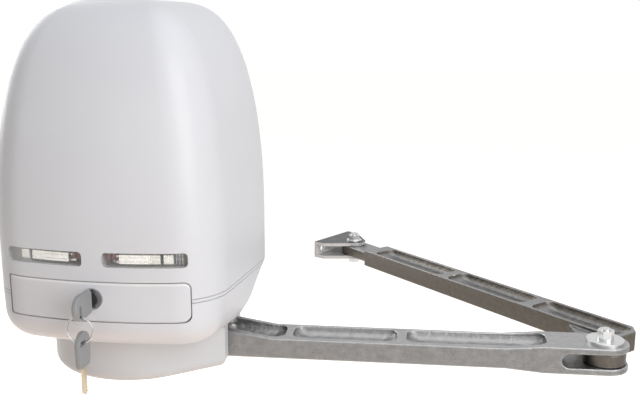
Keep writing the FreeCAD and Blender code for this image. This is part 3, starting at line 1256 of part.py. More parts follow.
def cap_solid(shrink, z0, edge):
    """Cup's outline: a circle drawn out by straight sides to a flat end, rounded along its lower edge."""
    radius = CAP_R - shrink
    end = CAP_END - shrink
    half = CAP_END_HALF - shrink
    turn = math.atan2(half, end) + math.acos(radius / math.hypot(half, end))
    side = (radius * math.cos(turn), radius * math.sin(turn))
    spout = prism([(side[0], -side[1]), (end, -half), (end, half), side, (0, 0)], z0, CAP_TOP)
    solid = joined([rod(radius, z0, CAP_TOP), spout])
    rims = [e for e in solid.Edges if e.BoundBox.ZMax < z0 + 0.01]
    return solid.makeFillet(edge, rims)


def arm_cap():
    """Shallow cup under the hub, round at the lower edge, open where the arm leaves it."""
    shell = cap_solid(0.0, CAP_FLOOR, CAP_EDGE_R)
    shell = shell.cut(cap_solid(CAP_WALL, CAP_FLOOR + CAP_WALL, CAP_EDGE_R - CAP_WALL))
    gap = ARM_HALF_WIDTH + CAP_CLEAR
    cuts = [box(CAP_R * 0.7, CAP_END + 1, -gap, gap, CAP_FLOOR + CAP_WALL, CAP_TOP + 1)]
    cuts += [rod(SCREW_R + 0.2, CAP_FLOOR - 1, 0, 0, s * CAP_SCREW_Y) for s in (-1, 1)]
    posts = [tube(SCREW_R + 2, SCREW_R + 0.2, CAP_FLOOR + 0.5, -ARM_HALF_HEIGHT, 0, s * CAP_SCREW_Y)
             for s in (-1, 1)]
    return on_main_arm(joined([shell.cut(cuts)] + posts))


def cap_screws():
    """Screws that hold the cap to the hub."""
    return on_main_arm(group([joined([rod(SCREW_HEAD_R, CAP_FLOOR - 2, CAP_FLOOR, 0, s * CAP_SCREW_Y),
                                      rod(SCREW_R, CAP_FLOOR, -ARM_HALF_HEIGHT + 7, 0, s * CAP_SCREW_Y)])
                              for s in (-1, 1)]))


def hub_bolt():
    """Low-headed flanged bolt that draws the arm onto the shaft."""
    head_top = HUB_RECESS - HUB_FLANGE_THICK
    head = hexagon(HUB_HEX, head_top - HUB_BOLT_HEAD, head_top)
    flange = rod(HUB_FLANGE_R, head_top, HUB_RECESS)
    return on_main_arm(joined([head, flange, rod(HUB_BOLT_R, HUB_RECESS, HUB_RECESS + HUB_BOLT_LENGTH)]))


def elbow_bolt():
    """Shouldered bolt through fork and eye: flush head below, thinner threaded end above."""
    f = FORK_HALF_HEIGHT
    end = f + ELBOW_WASHER_THICK + SPRING_WASHER_THICK + ELBOW_NUT + ELBOW_BOLT_END
    head = rod(ELBOW_HEAD_R, -f, -f + ELBOW_HEAD_THICK)
    bolt = joined([head, rod(ELBOW_PIN_R, -f, f), rod(ELBOW_THREAD_R, -f, end)])
    bolt.translate(V(ARM_LENGTH, 0, 0))
    return on_main_arm(bolt)


def elbow_washers():
    """Wide washer on the fork with a spring washer on it."""
    low = FORK_HALF_HEIGHT
    middle = low + ELBOW_WASHER_THICK
    top = middle + SPRING_WASHER_THICK
    return on_main_arm(group([tube(ELBOW_WASHER_R, ELBOW_THREAD_R, low, middle, ARM_LENGTH, 0),
                              tube(SPRING_WASHER_R, ELBOW_THREAD_R, middle, top, ARM_LENGTH, 0)]))


def elbow_nut():
    """Nut on top of the elbow bolt."""
    low = FORK_HALF_HEIGHT + ELBOW_WASHER_THICK + SPRING_WASHER_THICK
    nut = hexagon(ELBOW_HEX, low, low + ELBOW_NUT, ARM_LENGTH, 0)
    return on_main_arm(nut.cut(rod(ELBOW_THREAD_R, low, low + ELBOW_NUT, ARM_LENGTH, 0)))


def forearm():
    """Cast forearm: an eye set to one side, a pocketed beam and a thin tongue at the far end."""
    h = FOREARM_HALF_HEIGHT
    t = TONGUE_HALF_HEIGHT
    y0 = -FOREARM_OFFSET - FOREARM_HALF_WIDTH
    y1 = -FOREARM_OFFSET + FOREARM_HALF_WIDTH
    end = FOREARM_LENGTH - FAR_TONGUE_LENGTH
    nose = [(FOREARM_START, y0 + 9), (FOREARM_START + 9, y0), (end, y0), (end, y1), (FOREARM_START, y1)]
    beam = prism(nose, -h, h)
    lug = joined([rod(FOREARM_EYE_R, -t, t), prism([(-FOREARM_EYE_R, 0), (FOREARM_START, y1),
                                                    (FOREARM_START, y1 - 9), (FOREARM_LUG_END, y1 - 9),
                                                    (FOREARM_LUG_END, y1), (FOREARM_EYE_R - 2, 6.0)], -t, t)])
    tongue = box(end - 12, FOREARM_LENGTH, -FOREARM_OFFSET - FAR_EYE_R, -FOREARM_OFFSET + FAR_EYE_R, -t, t)
    far = joined([rod(FAR_EYE_R, -t, t, FOREARM_LENGTH, -FOREARM_OFFSET), tongue])
    beam = beam.cut(pockets(FOREARM_POCKETS, FOREARM_HALF_WIDTH - ARM_RIM, h, -FOREARM_OFFSET))
    arm = joined([beam, lug, far])
    return on_forearm(arm.cut([rod(ELBOW_PIN_R + BUSH_WALL, -h, h),
                               rod(BRACKET_PIN_R + BUSH_WALL, -h, h, FOREARM_LENGTH, -FOREARM_OFFSET)]))


def forearm_bushes():
    """Plain bushes in both of the forearm's eyes."""
    t = TONGUE_HALF_HEIGHT
    elbow = tube(ELBOW_PIN_R + BUSH_WALL, ELBOW_PIN_R + RUNNING_FIT, -t, t)
    far = tube(BRACKET_PIN_R + BUSH_WALL, BRACKET_PIN_R + RUNNING_FIT, -t, t,
               FOREARM_LENGTH, -FOREARM_OFFSET)
    return on_forearm(group([elbow, far]))


# Gate bracket

def on_bracket(shape):
    """Sets a piece laid out from the bracket's pin to its place."""
    far = V(FOREARM_LENGTH, -FOREARM_OFFSET, 0)
    turn = FreeCAD.Rotation(UP, FOREARM_ANGLE)
    shape.rotate(V(0, 0, 0), UP, BRACKET_ANGLE)
    shape.translate(ELBOW + turn.multVec(far))
    return shape


BRACKET_INSIDE = TONGUE_HALF_HEIGHT + TONGUE_CLEAR
BRACKET_OUTSIDE = BRACKET_INSIDE + BRACKET_THICK


def gate_bracket():
    """Bent bracket: two tapered flanges on an upright web with two screw holes."""
    r = BRACKET_END_R
    w = BRACKET_HALF_WIDTH
    web_x = BRACKET_REACH - BRACKET_THICK
    outline = [(-0.42 * r, -0.9 * r), (web_x - 12, -w), (BRACKET_REACH, -w),
               (BRACKET_REACH, w), (web_x - 12, w), (-0.42 * r, 0.9 * r)]
    eye = rod(r, -BRACKET_OUTSIDE, BRACKET_OUTSIDE)
    block = joined([prism(outline, -BRACKET_OUTSIDE, BRACKET_OUTSIDE), eye])
    mouth = box(-r - 1, web_x, -w - 1, w + 1, -BRACKET_INSIDE, BRACKET_INSIDE)
    holes = [Part.makeCylinder(BRACKET_HOLE_R, BRACKET_THICK + 4,
                               V(web_x - 2, s * 0.5 * BRACKET_HOLE_SPACING, 0), V(1, 0, 0)) for s in (-1, 1)]
    pin = rod(BRACKET_PIN_R, -BRACKET_OUTSIDE, BRACKET_OUTSIDE)
    return on_bracket(block.cut([mouth, pin] + holes))


def bracket_bolt():
    """Bolt through bracket and tongue, head below."""
    low = -BRACKET_OUTSIDE - WASHER_THICK
    head = hexagon(BRACKET_HEX, low - BRACKET_BOLT_HEAD, low)
    return on_bracket(joined([head, rod(BRACKET_PIN_R, low, BRACKET_OUTSIDE + BRACKET_BOLT_END)]))


def bracket_washers():
    """Washers on both flanges."""
    return on_bracket(group([tube(BRACKET_WASHER_R, BRACKET_PIN_R, s, s + WASHER_THICK)
                             for s in (BRACKET_OUTSIDE, -BRACKET_OUTSIDE - WASHER_THICK)]))


def bracket_nut():
    """Nut on top of the bracket bolt."""
    low = BRACKET_OUTSIDE + WASHER_THICK
    return on_bracket(hexagon(BRACKET_HEX, low, low + 6.5).cut(rod(BRACKET_PIN_R, low, low + 6.5)))


def case_screws():
    """Equal screws of the gear case: round its lid and up through the lower shell's floor."""
    return group(lid_screws() + shell_screws())


def shaft_bearings():
    """Lower and upper bearing of the output shaft."""
    return group([ball_bearing(LOW_BEARING_R, SHAFT_R, LOW_BEARING_LOW, LOW_BEARING_HEIGHT),
                  ball_bearing(TOP_BEARING_R, SHAFT_JOURNAL_R, TOP_BEARING_LOW, TOP_BEARING_HEIGHT)])


PIECES = [
    wall_plate, plate_bolts, gear_case, gear_case_lid, case_screws, shaft_bearings, shaft_seal, lay_bushes,
    motor_head, motor_can, motor_end_cap, fork_rod, release_tray, lower_shell, seam_band, upper_cover,
    cover_screws, cable_gland, lenses, lamp_trays, lamp_boards, lamps, chassis, control_board, terminal_strip,
    relays, capacitors, transformer, output_shaft, output_gear, main_arm, arm_cap, cap_screws, hub_bolt,
    elbow_bolt, elbow_washers, elbow_nut, lay_shaft, lay_gear, motor_shaft, clutch_sleeve, shift_fork,
    release_spindle, release_lever, forearm, forearm_bushes, gate_bracket, bracket_bolt, bracket_washers,
    bracket_nut, release_flap, lock_barrel, lock_nut, lock_plug, lock_cam, key_head, key_blade, key_ring,
    spare_key_head, spare_key_blade,
]


def main():
    """Builds and writes every piece."""
    os.makedirs("parts", exist_ok=True)
    for piece in PIECES:
        save(piece.__name__, piece())


main()
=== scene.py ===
"""Looks of an articulated arm gate opener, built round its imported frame.

Lengths are in metres. The frame's origin lies on the wall, at the middle of the wall plate's bolt
holes: X runs along the front, the front faces -Y and Z is up.
"""
import logging
import math
from dataclasses import dataclass, replace
from enum import Enum
from typing import Mapping, Optional, Sequence, Union

import bmesh
import bpy
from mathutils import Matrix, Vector


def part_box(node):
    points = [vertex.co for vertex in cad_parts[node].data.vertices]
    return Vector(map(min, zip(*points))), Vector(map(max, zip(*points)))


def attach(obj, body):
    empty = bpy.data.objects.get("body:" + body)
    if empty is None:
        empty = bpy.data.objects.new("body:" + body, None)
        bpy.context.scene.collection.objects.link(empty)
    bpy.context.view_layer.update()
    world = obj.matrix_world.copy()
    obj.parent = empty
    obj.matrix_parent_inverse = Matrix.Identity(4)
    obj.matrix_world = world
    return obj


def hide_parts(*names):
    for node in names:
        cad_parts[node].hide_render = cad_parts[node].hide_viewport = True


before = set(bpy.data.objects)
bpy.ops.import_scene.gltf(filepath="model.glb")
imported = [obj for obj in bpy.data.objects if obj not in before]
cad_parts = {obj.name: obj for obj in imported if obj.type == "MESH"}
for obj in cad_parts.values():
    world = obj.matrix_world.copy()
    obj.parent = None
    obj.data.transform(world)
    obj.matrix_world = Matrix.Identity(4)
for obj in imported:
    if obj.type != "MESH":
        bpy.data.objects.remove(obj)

LOG = logging.getLogger("gate_opener")
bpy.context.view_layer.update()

Colour = tuple[float, float, float]
Place = tuple[float, float, float]
Stop = tuple[float, float]
Run = tuple[float, float]
Input = Union["Value", float, int, Sequence[float]]

WHITE: Colour = (1.0, 1.0, 1.0)
FLAT_ANGLE = math.radians(0.6)
SHARP_ANGLE = math.radians(32.0)
BEVEL_STEPS = 2
SAME_POINT = 1e-6

# Headings of both arms from X in degrees, as the frame stands at rest
MAIN_HEADING = 2.7
FOREARM_HEADING = 134.4


class Value:
    """Shader socket that takes part in Python arithmetic."""

    def __init__(self, tree: "NodeTree", socket: bpy.types.NodeSocket) -> None:
        """Wraps one output socket of a tree."""
        self.tree = tree
        self.socket = socket

    def _math(self, operation: str, first: Input, second: Input) -> "Value":
        """Adds one Math node."""
        return self.tree.node("ShaderNodeMath", {"operation": operation}, {0: first, 1: second})

    def __add__(self, other: Input) -> "Value":
        """Sum."""
        return self._math("ADD", self, other)

    __radd__ = __add__

    def __sub__(self, other: Input) -> "Value":
        """Difference."""
        return self._math("SUBTRACT", self, other)

    def __rsub__(self, other: Input) -> "Value":
        """Difference from a number."""
        return self._math("SUBTRACT", other, self)

    def __mul__(self, other: Input) -> "Value":
        """Product."""
        return self._math("MULTIPLY", self, other)

    __rmul__ = __mul__

    def __gt__(self, other: Input) -> "Value":
        """1 where it is the larger one, and 0 elsewhere."""
        return self._math("GREATER_THAN", self, other)

    def __lt__(self, other: Input) -> "Value":
        """1 where it is the smaller one, and 0 elsewhere."""
        return self._math("LESS_THAN", self, other)


class NodeTree:
    """Node tree of one material, or of the world, while it is being written."""

    EDGE_STOPS: tuple[Stop, ...] = ((0.86, 1.0), (0.985, 0.0))
    # Stops of the mask for the white highlight painted on upward edges
    PAINTED_HIGHLIGHT_STOPS: tuple[Stop, ...] = ((0.08, 0.0), (0.30, 1.0))
    # Stops of the mask for the painted top tone on upward faces
    UPWARD_STOPS: tuple[Stop, ...] = ((0.55, 0.0), (0.90, 1.0))
    SAME_WAY = 0.8
    BEVEL_SAMPLES = 4
    GRAIN_DETAIL = 4.0
    # A Mix node has several sockets of each name, so those for colours go by number
    MIX_SHARE, MIX_FIRST, MIX_SECOND, MIX_RESULT = 0, 6, 7, 2

    def __init__(self, owner: Union[bpy.types.Material, bpy.types.World]) -> None:
        """Empties the owner's tree.

        Args:
            owner: The material or world whose tree it is.
        """
        self.owner = owner
        owner.use_nodes = True
        self.tree = owner.node_tree
        self.tree.nodes.clear()

    @classmethod
    def material(cls, name: str) -> "NodeTree":
        """Tree of a new material."""
        return cls(bpy.data.materials.new(name))

    def node(self, kind: str, settings: Optional[Mapping[str, object]] = None,
             inputs: Optional[Mapping[Union[str, int], Input]] = None, output: Union[str, int] = 0) -> Value:
        """Adds a node.

        Args:
            kind: Blender's name of the node type.
            settings: The node's own properties, or a ramp's stops under "stops".
            inputs: Values or links of its sockets, by name or number.
            output: The output socket that is handed back.

        Returns:
            The chosen output socket.
        """
        made = self.tree.nodes.new(kind)
        for key, value in (settings or {}).items():
            if key == "stops":
                self._set_stops(made.color_ramp, value)
            else:
                setattr(made, key, value)
        for key, value in (inputs or {}).items():
            if isinstance(value, Value):
                self.tree.links.new(value.socket, made.inputs[key])
            else:
                made.inputs[key].default_value = value
        return Value(self, made.outputs[output])

    def close(self, shader: Value, end: str = "ShaderNodeOutputMaterial") -> None:
        """Leads a shader to the tree's output."""
        self.tree.links.new(shader.socket, self.tree.nodes.new(end).inputs["Surface"])

    @staticmethod
    def _set_stops(ramp: bpy.types.ColorRamp, stops: Sequence[Stop]) -> None:
        """Gives a ramp its grey stops.

        Args:
            ramp: The ramp.
            stops: Place and level of each stop.
        """
        while len(ramp.elements) < len(stops):
            ramp.elements.new(1.0)
        for element, (place, level) in zip(ramp.elements, stops):
            element.position = place
            element.color = (level, level, level, 1.0)

    def place(self) -> Value:
        """Point on the piece, in the frame's own metres."""
        return self.node("ShaderNodeTexCoord", output="Object")

    def noise(self, size: float, detail: float = 3.0, stretch: Optional[Sequence[float]] = None) -> Value:
        """Cloudy value between 0 and 1.

        Args:
            size: Width of one cloud in metres.
            detail: Number of finer layers.
            stretch: How much each axis is squeezed, for streaks.

        Returns:
            The noise value.
        """
        where = self.place()
        if stretch is not None:
            where = self.node("ShaderNodeMapping", inputs={"Vector": where, "Scale": stretch})
        inputs = {"Vector": where, "Scale": 1.0 / size, "Detail": detail}
        return self.node("ShaderNodeTexNoise", inputs=inputs)

    def ramp(self, value: Value, *stops: Stop) -> Value:
        """Value sent through grey stops."""
        return self.node("ShaderNodeValToRGB", {"stops": stops}, {"Fac": value})

    def along(self, vector: Value, direction: Input) -> Value:
        """Vector's share along a direction."""
        return self.node("ShaderNodeVectorMath", {"operation": "DOT_PRODUCT"},
                         {0: vector, 1: direction}, "Value")

    def upright(self, vector: Value) -> Value:
        """Vector's share along Z."""
        return self.node("ShaderNodeSeparateXYZ", inputs={"Vector": vector}, output="Z")

    def edges(self, width: float) -> Value:
        """Mask of a piece's sharp edges, which hands and tools rub, and where castings also get a painted
        highlight.
        """
        flat = self.node("ShaderNodeNewGeometry", output="True Normal")
        return self.ramp(self.along(flat, self.rounded(width)), *self.EDGE_STOPS)

    def painted_highlight(self, width: float) -> Value:
        """Mask of the sharp edges that look up, where a white highlight is painted."""
        return self.ramp(self.upright(self.rounded(width)), *self.PAINTED_HIGHLIGHT_STOPS)

    def upward(self) -> Value:
        """Mask of the faces that look up, which get a painted top tone for how the light falls."""
        normal = self.node("ShaderNodeNewGeometry", output="Normal")
        return self.ramp(self.upright(normal), *self.UPWARD_STOPS)

    def facing(self, direction: Sequence[float]) -> Value:
        """Mask of the faces that look one way on the piece."""
        normal = self.node("ShaderNodeTexCoord", output="Normal")
        return self.along(normal, direction) > self.SAME_WAY

    def grain(self, width: float, heading: float, length: float = 14.0) -> Value:
        """Streaks that run level along one heading.

        Args:
            width: Width of one streak in metres.
            heading: Heading of the streaks from X, in degrees.
            length: How many widths long a streak is.

        Returns:
            The streaks' value between 0 and 1.
        """
        turned = self.node("ShaderNodeVectorRotate", {"rotation_type": "Z_AXIS"},
                           {"Vector": self.place(), "Angle": -math.radians(heading)})
        drawn = self.node("ShaderNodeMapping", inputs={"Vector": turned, "Scale": (1.0 / length, 1.0, 1.0)})
        inputs = {"Vector": drawn, "Scale": 1.0 / width, "Detail": self.GRAIN_DETAIL}
        return self.node("ShaderNodeTexNoise", inputs=inputs)

    def rounded(self, radius: float) -> Value:
        """Normal that runs softly over sharp edges."""
        return self.node("ShaderNodeBevel", {"samples": self.BEVEL_SAMPLES}, {"Radius": radius})

    def blend(self, share: Input, first: Input, second: Input, how: str = "MIX") -> Value:
        """Mix of two colours.

        Args:
            share: How much of the second colour shows.
            first: Colour where the share is 0.
            second: Colour where the share is 1.
            how: Blender's name of the way they are mixed.

        Returns:
            The mixed colour.
        """
        settings = {"data_type": "RGBA", "blend_type": how}
        inputs = {self.MIX_SHARE: share, self.MIX_FIRST: first, self.MIX_SECOND: second}
        return self.node("ShaderNodeMix", settings, inputs, self.MIX_RESULT)

    def tinted(self, first: Input, second: Input) -> Value:
        """Product of two colours."""
        return self.blend(1.0, first, second, "MULTIPLY")

    def bump(self, height: Value, depth: float, under: Optional[Value] = None) -> Value:
        """Relief of the surface.

        Args:
            height: Height between 0 and 1.
            depth: Height of 1 in metres.
            under: Normal that the relief lies on.

        Returns:
            The new normal.
        """
        inputs: dict[Union[str, int], Input] = {"Height": height, "Distance": depth, "Strength": 1.0}
        if under is not None:
            inputs["Normal"] = under
        return self.node("ShaderNodeBump", inputs=inputs)

    def surface(self, **inputs: Input) -> bpy.types.Material:
        """Closes the tree with one principled surface.

        Args:
            **inputs: Its sockets, with underscores for spaces.

        Returns:
            The finished material.
        """
        named = {key.replace("_", " "): value for key, value in inputs.items()}
        self.close(self.node("ShaderNodeBsdfPrincipled", inputs=named))
        return self.owner


def opaque(colour: Colour, gain: float = 1.0) -> tuple[float, float, float, float]:
    """Colour as a shader takes it, made lighter or darker by a gain."""
    return (colour[0] * gain, colour[1] * gain, colour[2] * gain, 1.0)


def varied(colour: Colour, contrast: float) -> tuple[tuple[float, float, float, float], ...]:
    """Darker and lighter form of a colour."""
    return opaque(colour, 1.0 - contrast), opaque(colour, 1.0 + contrast)


@dataclass(frozen=True)
class MouldedPlastic:
    """Satin moulded plastic with a fine spark-eroded grain, and if asked a white highlight painted on its
    upward edges.
    """

    name: str
    colour: Colour
    roughness: float = 0.40
    drift: float = 0.025
    grain: float = 0.0007
    relief: float = 0.000012
    coat: float = 0.0
    gloss: float = 0.4
    edge: float = 0.0004
    # Width of the white highlight painted on upward edges, or 0 for none
    painted_highlight: float = 0.0
    patch: float = 0.06
    sheen_drift: float = 0.10
    coat_roughness: float = 0.2

    def material(self) -> bpy.types.Material:
        """Writes the finish as a material.

        Returns:
            The material.
        """
        tree = NodeTree.material(self.name)
        cloud = tree.noise(self.patch, detail=4.0)
        speck = tree.noise(self.grain, detail=2.0)
        base = tree.blend(cloud, *varied(self.colour, self.drift))
        # Painted highlight: upward edges turn white
        if self.painted_highlight > 0.0:
            base = tree.blend(tree.painted_highlight(self.painted_highlight), base, opaque(WHITE))
        rough = self.roughness - 0.5 * self.sheen_drift + self.sheen_drift * cloud
        normal = tree.bump(speck, self.relief, under=tree.rounded(self.edge))
        return tree.surface(Base_Color=base, Roughness=rough, Normal=normal, Coat_Weight=self.coat,
                            Coat_Roughness=self.coat_roughness, Specular_IOR_Level=self.gloss)


@dataclass(frozen=True)
class CastMetal:
    """Raw light-alloy casting: pits, streaks along it, a painted darker tone on the sides and a lighter one
    on the upper faces, and bright edges that are rubbed wear with a painted highlight.
    """

    name: str
    colour: Colour
    # Lighter tone painted on the upward faces for the light from above; colour is the sides' darker tone
    painted_top_tone: Colour
    heading: float = 0.0
    roughness: float = 0.42
    cloud: float = 0.006
    cloud_stops: tuple[Stop, ...] = ((0.30, 0.0), (0.70, 1.0))
    mottle: float = 0.11
    cloud_relief: float = 0.0003
    cloud_sheen: float = 0.16
    pits: float = 0.0014
    pit_stops: tuple[Stop, ...] = ((0.28, 0.55), (0.40, 0.0))
    pit_gain: float = 0.4
    pit_relief: float = 0.00014
    pit_sheen: float = 0.12
    streak: float = 0.0011
    streak_contrast: float = 0.15
    streak_relief: float = 0.00006
    # Edges are painted lighter: rubbed wear with a painted highlight
    bright_edge_width: float = 0.0018
    bright_edge_share: float = 0.8
    bright_edge_gain: float = 1.9
    bright_edge_gloss: float = 0.12
    edge: float = 0.0008

    def material(self) -> bpy.types.Material:
        """Writes the finish as a material.

        Returns:
            The material.
        """
        tree = NodeTree.material(self.name)
        cloud = tree.ramp(tree.noise(self.cloud, detail=6.0), *self.cloud_stops)
        grit = tree.noise(self.pits, detail=4.0)
        drawn = tree.grain(self.streak, self.heading)
        bright_edges = tree.edges(self.bright_edge_width)
        # Painted light and shade: upward faces take the lighter top tone, the sides the darker one
        skin_and_painted_top = tree.blend(tree.upward(), opaque(self.colour), opaque(self.painted_top_tone))
        skin_and_painted_top = tree.tinted(skin_and_painted_top, tree.blend(cloud, *varied(WHITE, self.mottle)))
        skin_and_painted_top = tree.tinted(skin_and_painted_top, tree.blend(drawn, *varied(WHITE, self.streak_contrast)))
        skin_and_painted_top = tree.blend(tree.ramp(grit, *self.pit_stops), skin_and_painted_top, opaque(self.colour, self.pit_gain))
        # Bright edges: rubbed wear with a painted highlight, made from the lighter top tone
        base = tree.blend(self.bright_edge_share * bright_edges, skin_and_painted_top, opaque(self.painted_top_tone, self.bright_edge_gain))
        rough = (self.roughness + self.cloud_sheen * (cloud - 0.5) + self.pit_sheen * (grit - 0.5)
                 - self.bright_edge_gloss * bright_edges)
        normal = tree.bump(cloud, self.cloud_relief, under=tree.rounded(self.edge))
        normal = tree.bump(drawn, self.streak_relief, under=normal)
        normal = tree.bump(grit, self.pit_relief, under=normal)
        return tree.surface(Base_Color=base, Metallic=1.0, Roughness=rough, Normal=normal)


@dataclass(frozen=True)
class PlatedMetal:
    """Plated or polished metal with faint stains and tool marks."""

    name: str
    colour: Colour
    stain: Colour
    roughness: float = 0.28
    stained: float = 0.35
    metallic: float = 1.0
    cloud: float = 0.008
    cloud_stops: tuple[Stop, ...] = ((0.35, 0.0), (0.75, 1.0))
    streak: float = 0.0006
    streak_squeeze: Place = (1.0, 1.0, 5.0)
    streak_relief: float = 0.00002
    edge: float = 0.0003
    sheen_drift: float = 0.12

    def material(self) -> bpy.types.Material:
        """Writes the finish as a material.

        Returns:
            The material.
        """
        tree = NodeTree.material(self.name)
        cloud = tree.ramp(tree.noise(self.cloud, detail=5.0), *self.cloud_stops)
        streak = tree.noise(self.streak, stretch=self.streak_squeeze)
        base = tree.blend(self.stained * cloud, opaque(self.colour), opaque(self.stain))
        normal = tree.bump(streak, self.streak_relief, under=tree.rounded(self.edge))
        return tree.surface(Base_Color=self.with_painted_light(tree, base), Metallic=self.metallic,
                            Roughness=self.roughness + self.sheen_drift * cloud, Normal=normal)

    def with_painted_light(self, tree: NodeTree, base: Value) -> Value:
        """Base colour with painted light and shade, of which plain metal has none."""
        return base


@dataclass(frozen=True)
class FoldedSheet(PlatedMetal):
    """Plated sheet, folded to a channel, with a painted dark reflection on its upper flange and painted light
    on the web's shaded inside.
    """

    # Dark tone painted on the upward faces of the upper flange, as a painted dark reflection
    painted_top_tone: Colour = (0.055, 0.055, 0.055)
    painted_top_from: float = -0.1055
    # Pale tone painted on the web's inside, in a height band and for faces that look one way, as painted
    # light where the web lies in shade
    inner: Colour = (0.95, 0.95, 0.95)
    painted_light_band: Run = (-0.1215, -0.1085)
    painted_light_facing: Place = (0.872, -0.489, 0.0)

    def with_painted_light(self, tree: NodeTree, base: Value) -> Value:
        """Base colour with the painted dark top and the painted light inside.

        Args:
            tree: The material's tree.
            base: Colour without patches.

        Returns:
            The patched colour.
        """
        height = tree.upright(tree.place())
        # Painted light on the web's shaded inside, then a painted dark reflection on the upper flange's
        # upward faces
        in_painted_band = (height > self.painted_light_band[0]) * (height < self.painted_light_band[1])
        base = tree.blend(in_painted_band * tree.facing(self.painted_light_facing), base, opaque(self.inner))
        return tree.blend(tree.upward() * (height > self.painted_top_from), base, opaque(self.painted_top_tone))


@dataclass(frozen=True)
class PowderCoat:
    """Powder-coated steel with a slight orange-peel relief."""

    name: str
    colour: Colour
    roughness: float = 0.45
    sheen_drift: float = 0.1
    peel: float = 0.0016
    relief: float = 0.00004
    bright_edge_width: float = 0.0005
    bright_edge_share: float = 0.5
    bright_edge_gain: float = 3.0

    def material(self) -> bpy.types.Material:
        """Writes the finish as a material.

        Returns:
            The material.
        """
        tree = NodeTree.material(self.name)
        peel = tree.noise(self.peel, detail=2.0)
        bright_edges = self.bright_edge_share * tree.edges(self.bright_edge_width)
        base = tree.blend(bright_edges, opaque(self.colour), opaque(self.colour, self.bright_edge_gain))
        return tree.surface(Base_Color=base, Roughness=self.roughness + self.sheen_drift * peel,
                            Normal=tree.bump(peel, self.relief))


@dataclass(frozen=True)
class ClearPlastic:
    """Clear moulded plastic, clearest when seen square on."""

    name: str
    colour: Colour
    haze: float = 0.05
    rim_haze: float = 0.45
    rim: float = 0.35
    ripple: float = 0.004
    relief: float = 0.00006
    roughness: float = 0.06
    refraction: float = 1.49

    def material(self) -> bpy.types.Material:
        """Writes the finish as a material.

        Returns:
            The material.
        """
        tree = NodeTree.material(self.name)
        rim = tree.node("ShaderNodeLayerWeight", inputs={"Blend": self.rim}, output="Fresnel")
        ripple = tree.noise(self.ripple, detail=1.0)
        return tree.surface(Base_Color=opaque(self.colour), Roughness=self.roughness, IOR=self.refraction,
                            Alpha=self.haze + self.rim_haze * rim, Normal=tree.bump(ripple, self.relief))


@dataclass(frozen=True)
class BoardLacquer:
    """Solder mask with paler tracks under it."""

    name: str
    colour: Colour
    track: Colour
    roughness: float = 0.32
    sheen_drift: float = 0.1
    patch: float = 0.01
    coat: float = 0.3
    tracks_per_metre: float = 160.0
    track_width: float = 0.06
    track_offset: float = 0.35

    def material(self) -> bpy.types.Material:
        """Writes the finish as a material.

        Returns:
            The material.
        """
        tree = NodeTree.material(self.name)
        tracks = tree.node("ShaderNodeTexBrick", {"offset": self.track_offset}, {
            "Vector": tree.place(), "Scale": self.tracks_per_metre, "Color1": opaque(WHITE),
            "Color2": opaque(WHITE), "Mortar": opaque(WHITE, 0.0), "Mortar Size": self.track_width})
        base = tree.blend(tracks, opaque(self.track), opaque(self.colour))
        rough = self.roughness + self.sheen_drift * tree.noise(self.patch)
        return tree.surface(Base_Color=base, Roughness=rough, Coat_Weight=self.coat)


@dataclass(frozen=True)
class Winding:
    """Lacquered wire wound in close turns, with painted shade in the gaps between them."""

    name: str
    colour: Colour
    wire: float = 0.0011
    turns: float = 0.3
    wobble: float = 0.6
    gap_shade_gain: float = 0.45
    metallic: float = 0.8
    roughness: float = 0.35
    relief: float = 0.0004

    def material(self) -> bpy.types.Material:
        """Writes the finish as a material.

        Returns:
            The material.
        """
        tree = NodeTree.material(self.name)
        turns = tree.node("ShaderNodeTexWave", {"bands_direction": "DIAGONAL"}, {
            "Vector": tree.place(), "Scale": self.turns / self.wire, "Distortion": self.wobble}, "Fac")
        # Painted shade: the gaps between turns are darker
        base = tree.blend(turns, opaque(self.colour, self.gap_shade_gain), opaque(self.colour))
        return tree.surface(Base_Color=base, Metallic=self.metallic, Roughness=self.roughness,
                            Normal=tree.bump(turns, self.relief))


